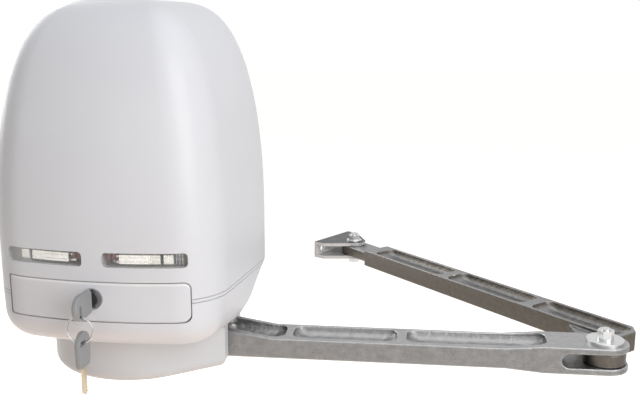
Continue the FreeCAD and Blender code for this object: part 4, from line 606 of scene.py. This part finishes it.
class Finish(Enum):
    """Every finish on the opener."""

    HOUSING = MouldedPlastic("housing_plastic", (0.718, 0.728, 0.768), coat=0.12, gloss=0.3, edge=0.0010)
    # The flap gets a white highlight painted along its upward edges
    FLAP = replace(HOUSING, name="flap_plastic", edge=0.0022, painted_highlight=0.0040)
    # A darker grey than the housing; this tone is partly painted shade from the shell above
    CAP = MouldedPlastic("cap_plastic", (0.612, 0.622, 0.646), gloss=0.3, edge=0.0010)
    BLACK = MouldedPlastic("black_plastic", (0.022, 0.022, 0.024), 0.5, 0.1)
    KEY = MouldedPlastic("key_plastic", (0.30, 0.305, 0.315), 0.42, 0.08)
    RELAY = MouldedPlastic("relay_plastic", (0.03, 0.06, 0.22), 0.25)
    LAMP = MouldedPlastic("lamp_diffuser", (0.88, 0.84, 0.60), 0.2)
    PIPE = PlatedMetal("metallised_pipe", (0.93, 0.92, 0.89), (0.80, 0.77, 0.70), 0.22, 0.5)
    HOLDER = MouldedPlastic("holder_phenolic", (0.24, 0.10, 0.09), 0.30, 0.15)
    CLIP = PlatedMetal("clip_steel", (0.36, 0.36, 0.37), (0.18, 0.18, 0.19), 0.25, 0.6)
    RUBBER = MouldedPlastic("rubber", (0.02, 0.02, 0.02), 0.75, 0.15, 0.0012, 0.00004)
    # Sides' tone, then the lighter top tone painted for the light from above
    CASTING = CastMetal("cast_alloy", (0.215, 0.214, 0.214), (0.35, 0.35, 0.355), MAIN_HEADING)
    # The forearm's sides are painted darker and warmer than the main arm's: painted shade and a painted warm
    # reflection of the ground
    OUTER_CASTING = CastMetal("outer_cast_alloy", (0.108, 0.098, 0.086), (0.25, 0.25, 0.252),
                              FOREARM_HEADING)
    CASE_CASTING = CastMetal("case_casting", (0.42, 0.42, 0.425), (0.46, 0.46, 0.465), roughness=0.5)
    REFLECTOR = MouldedPlastic("bright_reflector", (0.86, 0.85, 0.82), 0.25, 0.06)
    ZINC = PlatedMetal("zinc_plate", (0.62, 0.625, 0.63), (0.48, 0.475, 0.44))
    # The bracket's sheet gets a painted dark top and painted light on the web's inside
    BRACKET = FoldedSheet("rolled_zinc", (0.56, 0.56, 0.565), (0.42, 0.415, 0.405), 0.36, metallic=0.35)
    STEEL = PlatedMetal("ground_steel", (0.46, 0.46, 0.47), (0.33, 0.32, 0.31), 0.32)
    CHROME = PlatedMetal("dark_chrome", (0.34, 0.345, 0.35), (0.20, 0.20, 0.205), 0.20, 0.4)
    WIRE = PlatedMetal("ring_wire", (0.42, 0.425, 0.43), (0.32, 0.32, 0.32), 0.15, 0.2)
    BRONZE = PlatedMetal("bearing_bronze", (0.52, 0.36, 0.19), (0.34, 0.23, 0.12), 0.35)
    BRASS = PlatedMetal("key_brass", (0.56, 0.48, 0.36), (0.42, 0.34, 0.23), 0.30)
    PLATE = PowderCoat("black_powder", (0.012, 0.012, 0.013))
    LENS = ClearPlastic("clear_lens", (0.93, 0.94, 0.95))
    BOARD = BoardLacquer("board_lacquer", (0.02, 0.10, 0.045), (0.10, 0.22, 0.10))
    LAMP_BOARD = BoardLacquer("lamp_board", (0.70, 0.70, 0.68), (0.58, 0.57, 0.53))
    COIL = Winding("copper_winding", (0.50, 0.24, 0.10))


class Palette:
    """Makes each finish's material once."""

    def __init__(self) -> None:
        """Starts with no material."""
        self._made: dict[Finish, bpy.types.Material] = {}

    def of(self, finish: Finish) -> bpy.types.Material:
        """Material of a finish.

        Args:
            finish: The finish that is asked for.

        Returns:
            Its material, written at the first call.
        """
        if finish not in self._made:
            self._made[finish] = finish.value.material()
        return self._made[finish]


PALETTE = Palette()


@dataclass
class Assembly:
    """Group of pieces that are built and dressed together."""

    body: str = "gearmotor"

    def dress(self, finish: Finish, *nodes: str, edge: float = 0.0) -> None:
        """Gives frame nodes a finish and softened edges.

        Args:
            finish: The finish they get.
            *nodes: Names of the nodes.
            edge: Width of the softened edges, or 0 to leave them.
        """
        for name in nodes:
            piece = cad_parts[name]
            piece.data.materials.clear()
            piece.data.materials.append(PALETTE.of(finish))
            if edge > 0.0:
                self._soften(piece, edge)
            LOG.info("dressed %s in %s", name, finish.value.name)

    @staticmethod
    def _soften(piece: bpy.types.Object, edge: float, clamp: bool = True) -> None:
        """Rounds a piece's sharp edges with modifiers.

        Args:
            piece: The piece.
            edge: Width of the rounding.
            clamp: Whether roundings that would run into each other are narrowed.
        """
        flat = piece.modifiers.new("flat_faces", "DECIMATE")
        flat.decimate_type = "DISSOLVE"
        flat.angle_limit = FLAT_ANGLE
        bevel = piece.modifiers.new("soft_edges", "BEVEL")
        bevel.width = edge
        bevel.segments = BEVEL_STEPS
        bevel.limit_method = "ANGLE"
        bevel.angle_limit = SHARP_ANGLE
        bevel.harden_normals = True
        bevel.use_clamp_overlap = clamp

    def add(self, name: str, mesh: bmesh.types.BMesh, finish: Finish, slot: str,
            body: Optional[str] = None) -> bpy.types.Object:
        """Turns a finished mesh into a piece that rides on a body.

        Args:
            name: The piece's name.
            mesh: Its mesh, in the frame's metres.
            finish: Its finish.
            slot: The record's material slot; it is not used.
            body: The body it rides on, or None for the group's own.

        Returns:
            The new piece.
        """
        data = bpy.data.meshes.new(name)
        bmesh.ops.recalc_face_normals(mesh, faces=mesh.faces)
        mesh.to_mesh(data)
        mesh.free()
        data.materials.append(PALETTE.of(finish))
        piece = bpy.data.objects.new(name, data)
        bpy.context.scene.collection.objects.link(piece)
        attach(piece, body or self.body)
        LOG.info("built %s", name)
        return piece


def skinned(*rings: Sequence[Vector], into: Optional[bmesh.types.BMesh] = None) -> bmesh.types.BMesh:
    """Closed mesh drawn over rings of points.

    Args:
        *rings: The rings, all with the same number of points.
        into: A mesh that it is added to, or None for a new one.

    Returns:
        The mesh.
    """
    mesh = into or bmesh.new()
    loops = [[mesh.verts.new(point) for point in ring] for ring in rings]
    for near, far in zip(loops, loops[1:]):
        for k in range(len(near)):
            after = (k + 1) % len(near)
            mesh.faces.new((near[k], near[after], far[after], far[k]))
    mesh.faces.new(loops[0][::-1])
    mesh.faces.new(loops[-1])
    return mesh


@dataclass(frozen=True)
class FrontWall:
    """Bowed front of the housing with its round corners, in plan."""

    bow_radius: float = 0.342
    bow_y: float = 0.146
    corner_radius: float = 0.048
    corner_x: float = 0.0545

    def point(self, x: float, depth: float, z: float) -> Vector:
        """Point behind the wall's face.

        Args:
            x: Where along the front, on the face itself.
            depth: How far behind the face.
            z: Its height.

        Returns:
            The point.
        """
        reach = self.bow_radius - self.corner_radius
        corner_y = self.bow_y - math.sqrt(reach ** 2 - self.corner_x ** 2)
        corner = Vector((math.copysign(self.corner_x, x), corner_y))
        centre, radius = Vector((0.0, self.bow_y)), self.bow_radius
        if abs(x) > self.corner_x * self.bow_radius / reach:
            centre, radius = corner, self.corner_radius
        side = x - centre.x
        face = Vector((side, -math.sqrt(radius ** 2 - side ** 2)))
        place = centre + face * ((radius - depth) / radius)
        return Vector((place.x, place.y, z))


@dataclass
class Housing(Assembly):
    """Hood, lower shell, seam band and what shows of the wall plate."""

    plate_edge: float = 0.0006
    small_edge: float = 0.0003
    joined_within: float = 1e-5
    crease_angle: float = math.radians(24.0)

    def build(self) -> None:
        """Dresses the housing."""
        self.dress(Finish.HOUSING, "upper_cover", "lower_shell", "seam_band")
        self._even_out(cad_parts["upper_cover"])
        self.dress(Finish.PLATE, "wall_plate", edge=self.plate_edge)
        self.dress(Finish.ZINC, "plate_bolts", "case_screws", "cover_screws", edge=self.small_edge)
        self.dress(Finish.BLACK, "cable_gland", "release_tray", edge=self.small_edge)

    def _even_out(self, piece: bpy.types.Object) -> None:
        """Lets the light run softly over shallow creases, with modifiers.

        Args:
            piece: The piece with the creases.
        """
        joined = piece.modifiers.new("joined_faces", "WELD")
        joined.merge_threshold = self.joined_within
        creases = piece.modifiers.new("sharp_creases", "EDGE_SPLIT")
        creases.split_angle = self.crease_angle
        creases.use_edge_sharp = False
        even = piece.modifiers.new("even_light", "WEIGHTED_NORMAL")
        even.mode = "CORNER_ANGLE"


@dataclass
class Lamps(Assembly):
    """Both lamps behind their clear lenses."""

    wall: FrontWall = FrontWall()
    height: float = -0.0109
    behind_face: float = 0.0042
    soft_edge: float = 0.0006
    pipe_half_height: float = 0.0043
    pipe_depth: float = 0.006
    groove: float = 0.0007
    groove_at: tuple[float, float, float] = (0.50, 0.40, 0.30)
    plain_run: Run = (0.0222, 0.0470)
    plain_step: float = 0.001
    inner_flutes: Run = (0.0470, 0.0570)
    outer_flutes: Run = (0.0594, 0.0682)
    flute_pitch: float = 0.0016
    flute_depth: float = 0.0006
    flute_steps: int = 8
    divider_gap: float = 0.0006
    divider_half: float = 0.0030
    divider_stand: float = 0.0002
    divider_depth: float = 0.016
    holder_steps: tuple[Place, ...] = (
        (0.0112, 0.0058, 0.0028), (0.0116, 0.0048, 0.0032), (0.0146, 0.0048, 0.0032),
        (0.0147, 0.0072, 0.0028), (0.0162, 0.0072, 0.0028), (0.0163, 0.0052, 0.0032),
        (0.0186, 0.0052, 0.0032), (0.0187, 0.0070, 0.0024), (0.0204, 0.0070, 0.0024))
    holder_depth: float = 0.0216
    holder_lift: float = 0.0019
    contact_rise: float = 0.0024
    contact_bends: tuple[Run, ...] = ((0.0165, 0.0068), (0.0185, 0.0062), (0.0200, 0.0050),
                                      (0.0216, 0.0058), (0.0224, 0.0072))
    contact_half: float = 0.0009
    contact_thick: float = 0.0004
    clip_run: Run = (0.0694, 0.0772)
    clip_half: float = 0.0050
    clip_depth: float = 0.012
    rib_pitch: float = 0.0026
    rib_profile: tuple[Run, ...] = ((0.0, 0.0080), (0.10, 0.0042), (0.50, 0.0042), (0.60, 0.0080))

    def build(self) -> None:
        """Dresses the lamps and builds what lies behind each lens."""
        self.dress(Finish.LENS, "lenses")
        self.dress(Finish.REFLECTOR, "lamp_trays")
        self.dress(Finish.LAMP_BOARD, "lamp_boards")
        self.dress(Finish.LAMP, "lamps")
        for side, name in ((-1, "left"), (1, "right")):
            self.add(f"light_pipe_{name}", self._pipe(side), Finish.PIPE, "lamp_white")
            self.add(f"pipe_divider_{name}", self._divider(side), Finish.BLACK, "black_plastic")
            self.add(f"lamp_holder_{name}", self._holder(side), Finish.HOLDER, "relay_plastic")
            self.add(f"lamp_contacts_{name}", self._contacts(side), Finish.ZINC, "zinc")
            self.add(f"end_clip_{name}", self._clip(side), Finish.CLIP, "black_plastic")

    def _ring(self, x: float, near: float, far: float, half: float, groove: float = 0.0,
              lift: float = 0.0) -> list[Vector]:
        """One outline across a strip behind the lens.

        Args:
            x: Where along the front.
            near: Depth of its front behind the wall's face.
            far: Depth of its back.
            half: Half its height.
            groove: Depth of two lengthwise grooves in its front.
            lift: Height of its middle over the lens's own.

        Returns:
            The outline's points.
        """
        soft = self.soft_edge
        front = [(near + soft, half), (near, half - soft)]
        front += [(near + dent, share * half) for share, dent in zip(self.groove_at, (0.0, groove, 0.0))]
        back = [(far - soft, -half), (far, soft - half), (far, half - soft), (far - soft, half)]
        outline = front + [(depth, -rise) for depth, rise in reversed(front)] + back
        return [self.wall.point(x, depth, self.height + lift + rise) for depth, rise in outline]

    def _flute(self, x: float, run: Run) -> float:
        """Depth of the upright flutes at one place in a run."""
        return self.flute_depth * 0.5 * (1.0 - math.cos(math.tau * (x - run[0]) / self.flute_pitch))

    def _steps(self, run: Run) -> list[float]:
        """Places along a fluted run."""
        count = round((run[1] - run[0]) / self.flute_pitch * self.flute_steps)
        return [run[0] + (run[1] - run[0]) * k / count for k in range(count + 1)]

    def _pipe(self, side: int) -> bmesh.types.BMesh:
        """Light pipe: a plain grooved run, then two fluted blocks.

        Args:
            side: -1 for the left lamp, 1 for the right one.

        Returns:
            The mesh.
        """
        near, far, half = self.behind_face, self.behind_face + self.pipe_depth, self.pipe_half_height
        count = int((self.plain_run[1] - self.plain_run[0]) / self.plain_step) + 1
        plain = [(self.plain_run[0] + self.plain_step * k, 0.0) for k in range(count)]
        inner = [(x, self._flute(x, self.inner_flutes)) for x in self._steps(self.inner_flutes)]
        outer = [(x, self._flute(x, self.outer_flutes)) for x in self._steps(self.outer_flutes)]
        mesh = skinned(*[self._ring(side * x, near + dent, far, half, self.groove)
                         for x, dent in plain + inner])
        return skinned(*[self._ring(side * x, near + dent, far, half) for x, dent in outer], into=mesh)

    def _divider(self, side: int) -> bmesh.types.BMesh:
        """Dark fin between the two fluted blocks.

        Args:
            side: -1 for the left lamp, 1 for the right one.

        Returns:
            The mesh.
        """
        low, high = self.inner_flutes[1] + self.divider_gap, self.outer_flutes[0] - self.divider_gap
        soft, half = self.soft_edge, self.divider_half
        sizes = ((low, half - soft), (low + 0.5 * soft, half), (high - 0.5 * soft, half), (high, half - soft))
        near = self.behind_face - self.divider_stand
        return skinned(*[self._ring(side * x, near, self.divider_depth, rise) for x, rise in sizes])

    def _holder(self, side: int) -> bmesh.types.BMesh:
        """Stepped lamp holder in the upper part of the inner end."""
        return skinned(*[self._ring(side * x, near, self.holder_depth, half, lift=self.holder_lift)
                         for x, near, half in self.holder_steps])

    def _contacts(self, side: int) -> bmesh.types.BMesh:
        """Two spring contacts between holder and light pipe.

        Args:
            side: -1 for the left lamp, 1 for the right one.

        Returns:
            The mesh.
        """
        mesh = bmesh.new()
        for rise in (-self.contact_rise, self.contact_rise):
            high, low = rise + self.contact_half, rise - self.contact_half
            rings = []
            for x, near in self.contact_bends:
                far = near + self.contact_thick
                corners = ((near, high), (near, low), (far, low), (far, high))
                rings.append([self.wall.point(side * x, depth, self.height + z) for depth, z in corners])
            skinned(*rings, into=mesh)
        return mesh

    def _clip(self, side: int) -> bmesh.types.BMesh:
        """Ribbed end clip at the outer end.

        Args:
            side: -1 for the left lamp, 1 for the right one.

        Returns:
            The mesh.
        """
        low, high = self.clip_run
        count = round((high - low) / self.rib_pitch)
        rings = []
        for k in range(count):
            start = low + (high - low) * k / count
            for share, near in self.rib_profile:
                x = side * (start + share * self.rib_pitch)
                rings.append(self._ring(x, near, self.clip_depth, self.clip_half, self.groove))
        return skinned(*rings)


@dataclass
class Drive(Assembly):
    """Gear case, gear train, motor, release and electrics."""

    lever_edge: float = 0.0005

    def build(self) -> None:
        """Dresses the drive."""
        self.dress(Finish.CASE_CASTING, "gear_case", "gear_case_lid", "motor_head")
        self.dress(Finish.STEEL, "shaft_bearings", "motor_can", "fork_rod", "output_shaft", "output_gear",
                   "lay_shaft", "lay_gear", "motor_shaft", "clutch_sleeve", "release_spindle")
        self.dress(Finish.RUBBER, "shaft_seal")
        self.dress(Finish.BRONZE, "lay_bushes", "shift_fork")
        self.dress(Finish.BLACK, "motor_end_cap", "capacitors")
        self.dress(Finish.KEY, "release_lever", edge=self.lever_edge)
        self.dress(Finish.ZINC, "chassis")
        self.dress(Finish.BOARD, "control_board", "terminal_strip")
        self.dress(Finish.RELAY, "relays")
        self.dress(Finish.COIL, "transformer")


def carved(blank: bpy.types.Mesh, cutter: bmesh.types.BMesh) -> bmesh.types.BMesh:
    """What is left of a blank when a cutter is taken out of it.

    Args:
        blank: Mesh of the blank, which stays as it is.
        cutter: Mesh of the cutter, which is used up.

    Returns:
        The carved mesh.
    """
    whole = bmesh.new()
    whole.from_mesh(blank)
    bmesh.ops.remove_doubles(whole, verts=whole.verts, dist=SAME_POINT)
    bmesh.ops.recalc_face_normals(cutter, faces=cutter.faces)
    helpers = []
    for mesh in (whole, cutter):
        data = bpy.data.meshes.new("carving")
        mesh.to_mesh(data)
        mesh.free()
        helpers.append(bpy.data.objects.new("carving", data))
        bpy.context.scene.collection.objects.link(helpers[-1])
    cut = helpers[0].modifiers.new("cut", "BOOLEAN")
    cut.operation = "DIFFERENCE"
    cut.solver = "EXACT"
    cut.object = helpers[1]
    bpy.context.view_layer.update()
    result = bmesh.new()
    result.from_object(helpers[0], bpy.context.evaluated_depsgraph_get())
    for helper in helpers:
        data = helper.data
        bpy.data.objects.remove(helper)
        bpy.data.meshes.remove(data)
    return result


@dataclass(frozen=True)
class Scoops:
    """Cast scoops in both faces of an arm, laid out along the arm from its pivot."""

    pivot: tuple[float, float]
    heading: float
    runs: tuple[Run, ...]
    sides: Run
    half_height: float
    sweep: float
    end_sweep: float = 0.017
    corner: float = 0.009
    level: float = -0.115
    half_web: float = 0.0015
    reach: float = 0.020
    least_corner: float = 0.002
    corner_steps: int = 6
    wall_steps: int = 8

    def cutter(self) -> bmesh.types.BMesh:
        """Cutter of all the scoops.

        Returns:
            Its mesh, in the frame's metres.
        """
        mesh = bmesh.new()
        depth = self.half_height - self.half_web
        for run in self.runs:
            for face in (-1, 1):
                walls = []
                for k in range(self.wall_steps + 1):
                    turn = 0.5 * math.pi * k / self.wall_steps
                    rise = self.half_web + depth * (1.0 - math.cos(turn))
                    walls.append(self._outline(run, 1.0 - math.sin(turn), face * rise))
                walls.append(self._outline(run, 0.0, face * self.reach))
                skinned(*walls, into=mesh)
        return mesh

    def _outline(self, run: Run, share: float, rise: float) -> list[Vector]:
        """Rounded outline of one scoop at one height.

        Args:
            run: Where the scoop starts and ends along the arm.
            share: How much of the walls' sweep lies outside the outline.
            rise: Height over the arm's middle.

        Returns:
            The outline's points, in the frame's metres.
        """
        side, end = share * self.sweep, share * self.end_sweep
        radius = max(self.corner - side, self.least_corner)
        ends = (run[1] - end - radius, run[0] + end + radius)
        across = (self.sides[1] - side - radius, self.sides[0] + side + radius)
        points = []
        for quarter, (x, y) in enumerate(((ends[0], across[0]), (ends[1], across[0]),
                                          (ends[1], across[1]), (ends[0], across[1]))):
            for k in range(self.corner_steps + 1):
                turn = 0.5 * math.pi * (quarter + k / self.corner_steps)
                points.append(Vector((x + radius * math.cos(turn), y + radius * math.sin(turn))))
        cos, sin = math.cos(math.radians(self.heading)), math.sin(math.radians(self.heading))
        return [Vector((self.pivot[0] + point.x * cos - point.y * sin,
                        self.pivot[1] + point.x * sin + point.y * cos,
                        self.level + rise)) for point in points]


@dataclass
class Arms(Assembly):
    """Cap, main arm, forearm and gate bracket with their bolts."""

    body: str = "swing_arm"
    casting_edge: float = 0.0012
    bolt_edge: float = 0.0004
    bracket_edge: float = 0.0008
    main_scoops: Scoops = Scoops(
        pivot=(0.0, -0.090), heading=MAIN_HEADING, runs=((0.080, 0.139), (0.146, 0.243), (0.252, 0.378)),
        sides=(-0.013, 0.017), half_height=0.0095, sweep=0.011)
    forearm_scoops: Scoops = Scoops(
        pivot=(0.42952, -0.069744), heading=FOREARM_HEADING,
        runs=((0.0095, 0.112), (0.124, 0.236), (0.248, 0.366)),
        sides=(-0.058, -0.026), half_height=0.010, sweep=0.006)

    def build(self) -> None:
        """Dresses the arms and stands full castings in for their plain ones."""
        self.dress(Finish.CAP, "arm_cap")
        self.dress(Finish.CASTING, "main_arm")
        self.dress(Finish.OUTER_CASTING, "forearm")
        self._recast("main_arm", self.main_scoops, Finish.CASTING, "swing_arm")
        self._recast("forearm", self.forearm_scoops, Finish.OUTER_CASTING, "outer_arm")
        self.dress(Finish.ZINC, "cap_screws", "hub_bolt", "elbow_bolt", "elbow_washers", "elbow_nut",
                   "bracket_bolt", "bracket_washers", "bracket_nut", edge=self.bolt_edge)
        self.dress(Finish.BRONZE, "forearm_bushes")
        self.dress(Finish.BRACKET, "gate_bracket", edge=self.bracket_edge)

    def _recast(self, node: str, scoops: Scoops, finish: Finish, body: str) -> None:
        """Stands a casting with wide scoops in for an arm.

        Args:
            node: The arm's node.
            scoops: Its scoops.
            finish: Its finish.
            body: The body it rides on.
        """
        mesh = carved(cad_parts[node].data, scoops.cutter())
        piece = self.add(f"{node}_casting", mesh, finish, "cast_aluminium", body)
        piece.data.shade_smooth()
        piece.data.set_sharp_from_angle(angle=SHARP_ANGLE)
        self._soften(piece, self.casting_edge, clamp=False)
        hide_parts(node)


@dataclass(frozen=True)
class KeyHead:
    """Moulded key head: square shoulders, a round end, a raised rim and a slot for the ring."""

    length: float = 0.030
    end_radius: float = 0.01075
    shoulder_half: float = 0.0093
    shoulder_radius: float = 0.0030
    half_thick: float = 0.0022
    panel_drop: float = 0.0004
    slot_from_end: float = 0.009
    slot_shift: float = -0.003
    slot_half_length: float = 0.005
    slot_half_width: float = 0.0019
    slot_edge: float = 0.0003
    rim_foot: float = 0.0024
    rim_profile: tuple[Run, ...] = ((0.0020, 0.0), (0.0009, 0.0), (0.0003, 0.0003), (0.0, 0.0010))
    rays: int = 96
    halvings: int = 40

    def mesh(self, shoulder: Vector, along: Vector, across: Vector) -> bmesh.types.BMesh:
        """Head set on a blade.

        Args:
            shoulder: Middle of the end that holds the blade.
            along: Direction from there to the round end.
            across: Direction across the head, away from the slot's shift.

        Returns:
            The head's mesh.
        """
        out = along.cross(across)
        slot = Vector((self.length - self.slot_from_end, self.slot_shift))
        low = self.half_thick - self.panel_drop
        mesh = bmesh.new()
        rings = []
        for k in range(self.rays):
            turn = math.tau * k / self.rays
            ray = Vector((math.cos(turn), math.sin(turn)))
            inner, outer = self._slot_reach(ray), self._rim_reach(slot, ray)
            half = [(inner, low - self.slot_edge), (inner + self.slot_edge, low)]
            half.append((outer - self.rim_foot, low))
            half += [(outer - inset, self.half_thick - drop) for inset, drop in self.rim_profile]
            ring = []
            for reach, rise in half + [(reach, -rise) for reach, rise in reversed(half)]:
                spot = slot + ray * reach
                ring.append(mesh.verts.new(shoulder + along * spot.x + across * spot.y + out * rise))
            rings.append(ring)
        for near, far in zip(rings, rings[1:] + rings[:1]):
            for k in range(len(near)):
                after = (k + 1) % len(near)
                mesh.faces.new((near[k], near[after], far[after], far[k])).smooth = True
        return mesh

    def _slot_reach(self, ray: Vector) -> float:
        """Distance from the slot's middle to its edge.

        Args:
            ray: Direction of length 1 on the head.

        Returns:
            The distance.
        """
        straight = self.slot_half_length - self.slot_half_width
        if abs(ray.x) > SAME_POINT and abs(ray.y) * self.slot_half_width / abs(ray.x) <= straight:
            return self.slot_half_width / abs(ray.x)
        side = abs(ray.y) * straight
        return side + math.sqrt(side ** 2 - straight ** 2 + self.slot_half_width ** 2)

    def _rim_reach(self, start: Vector, ray: Vector) -> float:
        """Distance from a point inside the head to its outer edge, found by halving.

        Args:
            start: The point.
            ray: Direction of length 1 on the head.

        Returns:
            The distance.
        """
        near, far = 0.0, 2.0 * self.length
        for _ in range(self.halvings):
            middle = 0.5 * (near + far)
            if self._inside(start + ray * middle):
                near = middle
            else:
                far = middle
        return near

    def _inside(self, spot: Vector) -> bool:
        """Tells whether a point lies inside the head's outline.

        Args:
            spot: The point, measured from the shoulder along and across the head.

        Returns:
            True when it lies inside.
        """
        centre = self.length - self.end_radius
        if spot.x > centre:
            return (spot.x - centre) ** 2 + spot.y ** 2 <= self.end_radius ** 2
        half = self.shoulder_half + (self.end_radius - self.shoulder_half) * max(spot.x, 0.0) / centre
        if spot.x < self.shoulder_radius and abs(spot.y) > half - self.shoulder_radius:
            corner = Vector((self.shoulder_radius, half - self.shoulder_radius))
            return (Vector((spot.x, abs(spot.y))) - corner).length <= self.shoulder_radius
        return spot.x >= 0.0 and abs(spot.y) <= half


@dataclass
class FlapAndKeys(Assembly):
    """Release flap, its lock and the keys."""

    body: str = "flap"
    head: KeyHead = KeyHead()
    head_crease: float = math.radians(40.0)
    flap_edge: float = 0.0010
    lock_edge: float = 0.0004
    nut_edge: float = 0.0003
    blade_edge: float = 0.0002

    def build(self) -> None:
        """Dresses the flap, lock and keys, and moulds the key heads."""
        self.dress(Finish.FLAP, "release_flap", edge=self.flap_edge)
        self.dress(Finish.CHROME, "lock_barrel", edge=self.lock_edge)
        self.dress(Finish.BLACK, "lock_plug", edge=self.lock_edge)
        self.dress(Finish.ZINC, "lock_nut", "lock_cam", edge=self.nut_edge)
        self.dress(Finish.KEY, "key_head", "spare_key_head")
        self.dress(Finish.BRASS, "key_blade", "spare_key_blade", edge=self.blade_edge)
        self.dress(Finish.WIRE, "key_ring")
        self._mould("key_head", Vector((0, -1, 0)), Vector((0, 0, 1)), "lock")
        self._mould("spare_key_head", Vector((0, 0, 1)), Vector((0, 1, 0)), "spare_key")

    def _mould(self, node: str, along: Vector, across: Vector, body: str) -> None:
        """Stands a moulded head in for a plain one.

        Args:
            node: The plain head's node.
            along: Direction from the blade to the round end.
            across: Direction across the head.
            body: The body it rides on.
        """
        low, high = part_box(node)
        shoulder = 0.5 * (low + high) - 0.5 * abs((high - low).dot(along)) * along
        mesh = self.head.mesh(shoulder, along, across)
        piece = self.add(f"{node}_moulded", mesh, Finish.KEY, "key_plastic", body)
        piece.data.set_sharp_from_angle(angle=self.head_crease)
        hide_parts(node)


@dataclass(frozen=True)
class SoftLamp:
    """Soft rectangular lamp that the camera doesn't see."""

    name: str
    place: Place
    target: Place
    size: tuple[float, float]
    power: float
    tint: Colour = WHITE

    def hang(self) -> None:
        """Adds the lamp to the scene, turned to its target."""
        data = bpy.data.lights.new(self.name, "AREA")
        data.shape = "RECTANGLE"
        data.size, data.size_y = self.size
        data.energy = self.power
        data.color = self.tint
        lamp = bpy.data.objects.new(self.name, data)
        bpy.context.scene.collection.objects.link(lamp)
        lamp.visible_camera = False
        lamp.location = self.place
        lamp.rotation_mode = "QUATERNION"
        lamp.rotation_quaternion = (Vector(self.target) - Vector(self.place)).to_track_quat("-Z", "Y")


@dataclass
class Studio:
    """Camera, lights, floor and white surroundings."""

    focal_pixels: float = 850.0
    image_width: float = 640.0
    sensor: float = 36.0
    azimuth: float = math.radians(9.3)
    elevation: float = math.radians(11.9)
    camera_at: Place = (0.2928, -0.8267, 0.1769)
    nearest: float = 0.01
    floor_height: float = -0.62
    floor_half: float = 14.0
    floor_cells: int = 8
    floor_colour: Colour = (0.84, 0.76, 0.68)
    floor_glow: float = 0.80
    ambient: float = 0.28
    lamps: tuple[SoftLamp, ...] = (
        SoftLamp("right_front_window", (1.20, -1.05, 0.55), (0.05, -0.1, 0.05), (0.8, 1.5), 17.0),
        SoftLamp("front_fill", (0.1, -1.9, 0.35), (0.1, 0.0, 0.0), (1.2, 1.0), 3.3),
        SoftLamp("ceiling", (0.45, -0.05, 1.6), (0.25, 0.0, 0.0), (1.4, 1.4), 6.0),
        SoftLamp("rear_fill", (-1.3, 0.9, 0.6), (0.0, 0.0, 0.0), (1.2, 1.2), 14.0),
        SoftLamp("ground_bounce", (-0.03, -0.34, -0.55), (-0.02, -0.30, 0.0), (0.5, 0.3), 0.42,
                 (1.0, 0.46, 0.14)))

    def build(self) -> None:
        """Sets up everything round the opener."""
        self._camera()
        self._floor()
        self._world()
        for lamp in self.lamps:
            lamp.hang()
        bpy.context.scene.view_settings.view_transform = "Standard"

    def _camera(self) -> None:
        """Camera at the photograph's angle."""
        data = bpy.data.cameras.new("camera")
        data.sensor_fit = "HORIZONTAL"
        data.sensor_width = self.sensor
        data.lens = self.focal_pixels / self.image_width * self.sensor
        data.clip_start = self.nearest
        camera = bpy.data.objects.new("camera", data)
        bpy.context.scene.collection.objects.link(camera)
        back = Vector((math.sin(self.azimuth) * math.cos(self.elevation),
                       -math.cos(self.azimuth) * math.cos(self.elevation), math.sin(self.elevation)))
        camera.location = self.camera_at
        camera.rotation_mode = "QUATERNION"
        camera.rotation_quaternion = (-back).to_track_quat("-Z", "Y")
        bpy.context.scene.camera = camera

    def _floor(self) -> None:
        """Plain pale floor below the opener."""
        mesh = bmesh.new()
        cells = self.floor_cells
        bmesh.ops.create_grid(mesh, x_segments=cells, y_segments=cells, size=self.floor_half)
        data = bpy.data.meshes.new("floor")
        mesh.to_mesh(data)
        mesh.free()
        floor = bpy.data.objects.new("floor", data)
        floor.location.z = self.floor_height
        bpy.context.scene.collection.objects.link(floor)
        data.materials.append(self._floor_material())

    @staticmethod
    def _seen(tree: NodeTree) -> Value:
        """Tells rays that show the surroundings to the camera, straight or by a mirror or lens.

        Args:
            tree: The tree that asks.

        Returns:
            1 for such rays, and 0 for others.
        """
        straight = tree.node("ShaderNodeLightPath", output="Is Camera Ray")
        mirrored = tree.node("ShaderNodeLightPath", output="Is Glossy Ray")
        passed = tree.node("ShaderNodeLightPath", output="Is Transmission Ray")
        return tree.node("ShaderNodeMath", {"operation": "ADD", "use_clamp": True},
                         {0: straight + mirrored, 1: passed})

    def _floor_material(self) -> bpy.types.Material:
        """Pale floor that adds white for the camera, so that only shade shows on it.

        Returns:
            The material.
        """
        tree = NodeTree.material("pale_floor")
        paint = tree.node("ShaderNodeBsdfDiffuse", inputs={"Color": opaque(self.floor_colour)})
        strength = self.floor_glow * self._seen(tree)
        glow = tree.node("ShaderNodeEmission", inputs={"Color": opaque(WHITE), "Strength": strength})
        tree.close(tree.node("ShaderNodeAddShader", inputs={0: paint, 1: glow}))
        return tree.owner

    def _world(self) -> None:
        """Even grey light, seen as white."""
        world = bpy.data.worlds.new("surroundings")
        bpy.context.scene.world = world
        tree = NodeTree(world)
        strength = self.ambient + (1.0 - self.ambient) * self._seen(tree)
        light = tree.node("ShaderNodeBackground", inputs={"Color": opaque(WHITE), "Strength": strength})
        tree.close(light, "ShaderNodeOutputWorld")


def main() -> None:
    """Builds and dresses the opener."""
    logging.basicConfig(level=logging.INFO, format="%(name)s: %(message)s")
    for group in (Housing(), Lamps(), Drive(), Arms(), FlapAndKeys()):
        group.build()
    Studio().build()


if __name__ == "__main__":
    main()
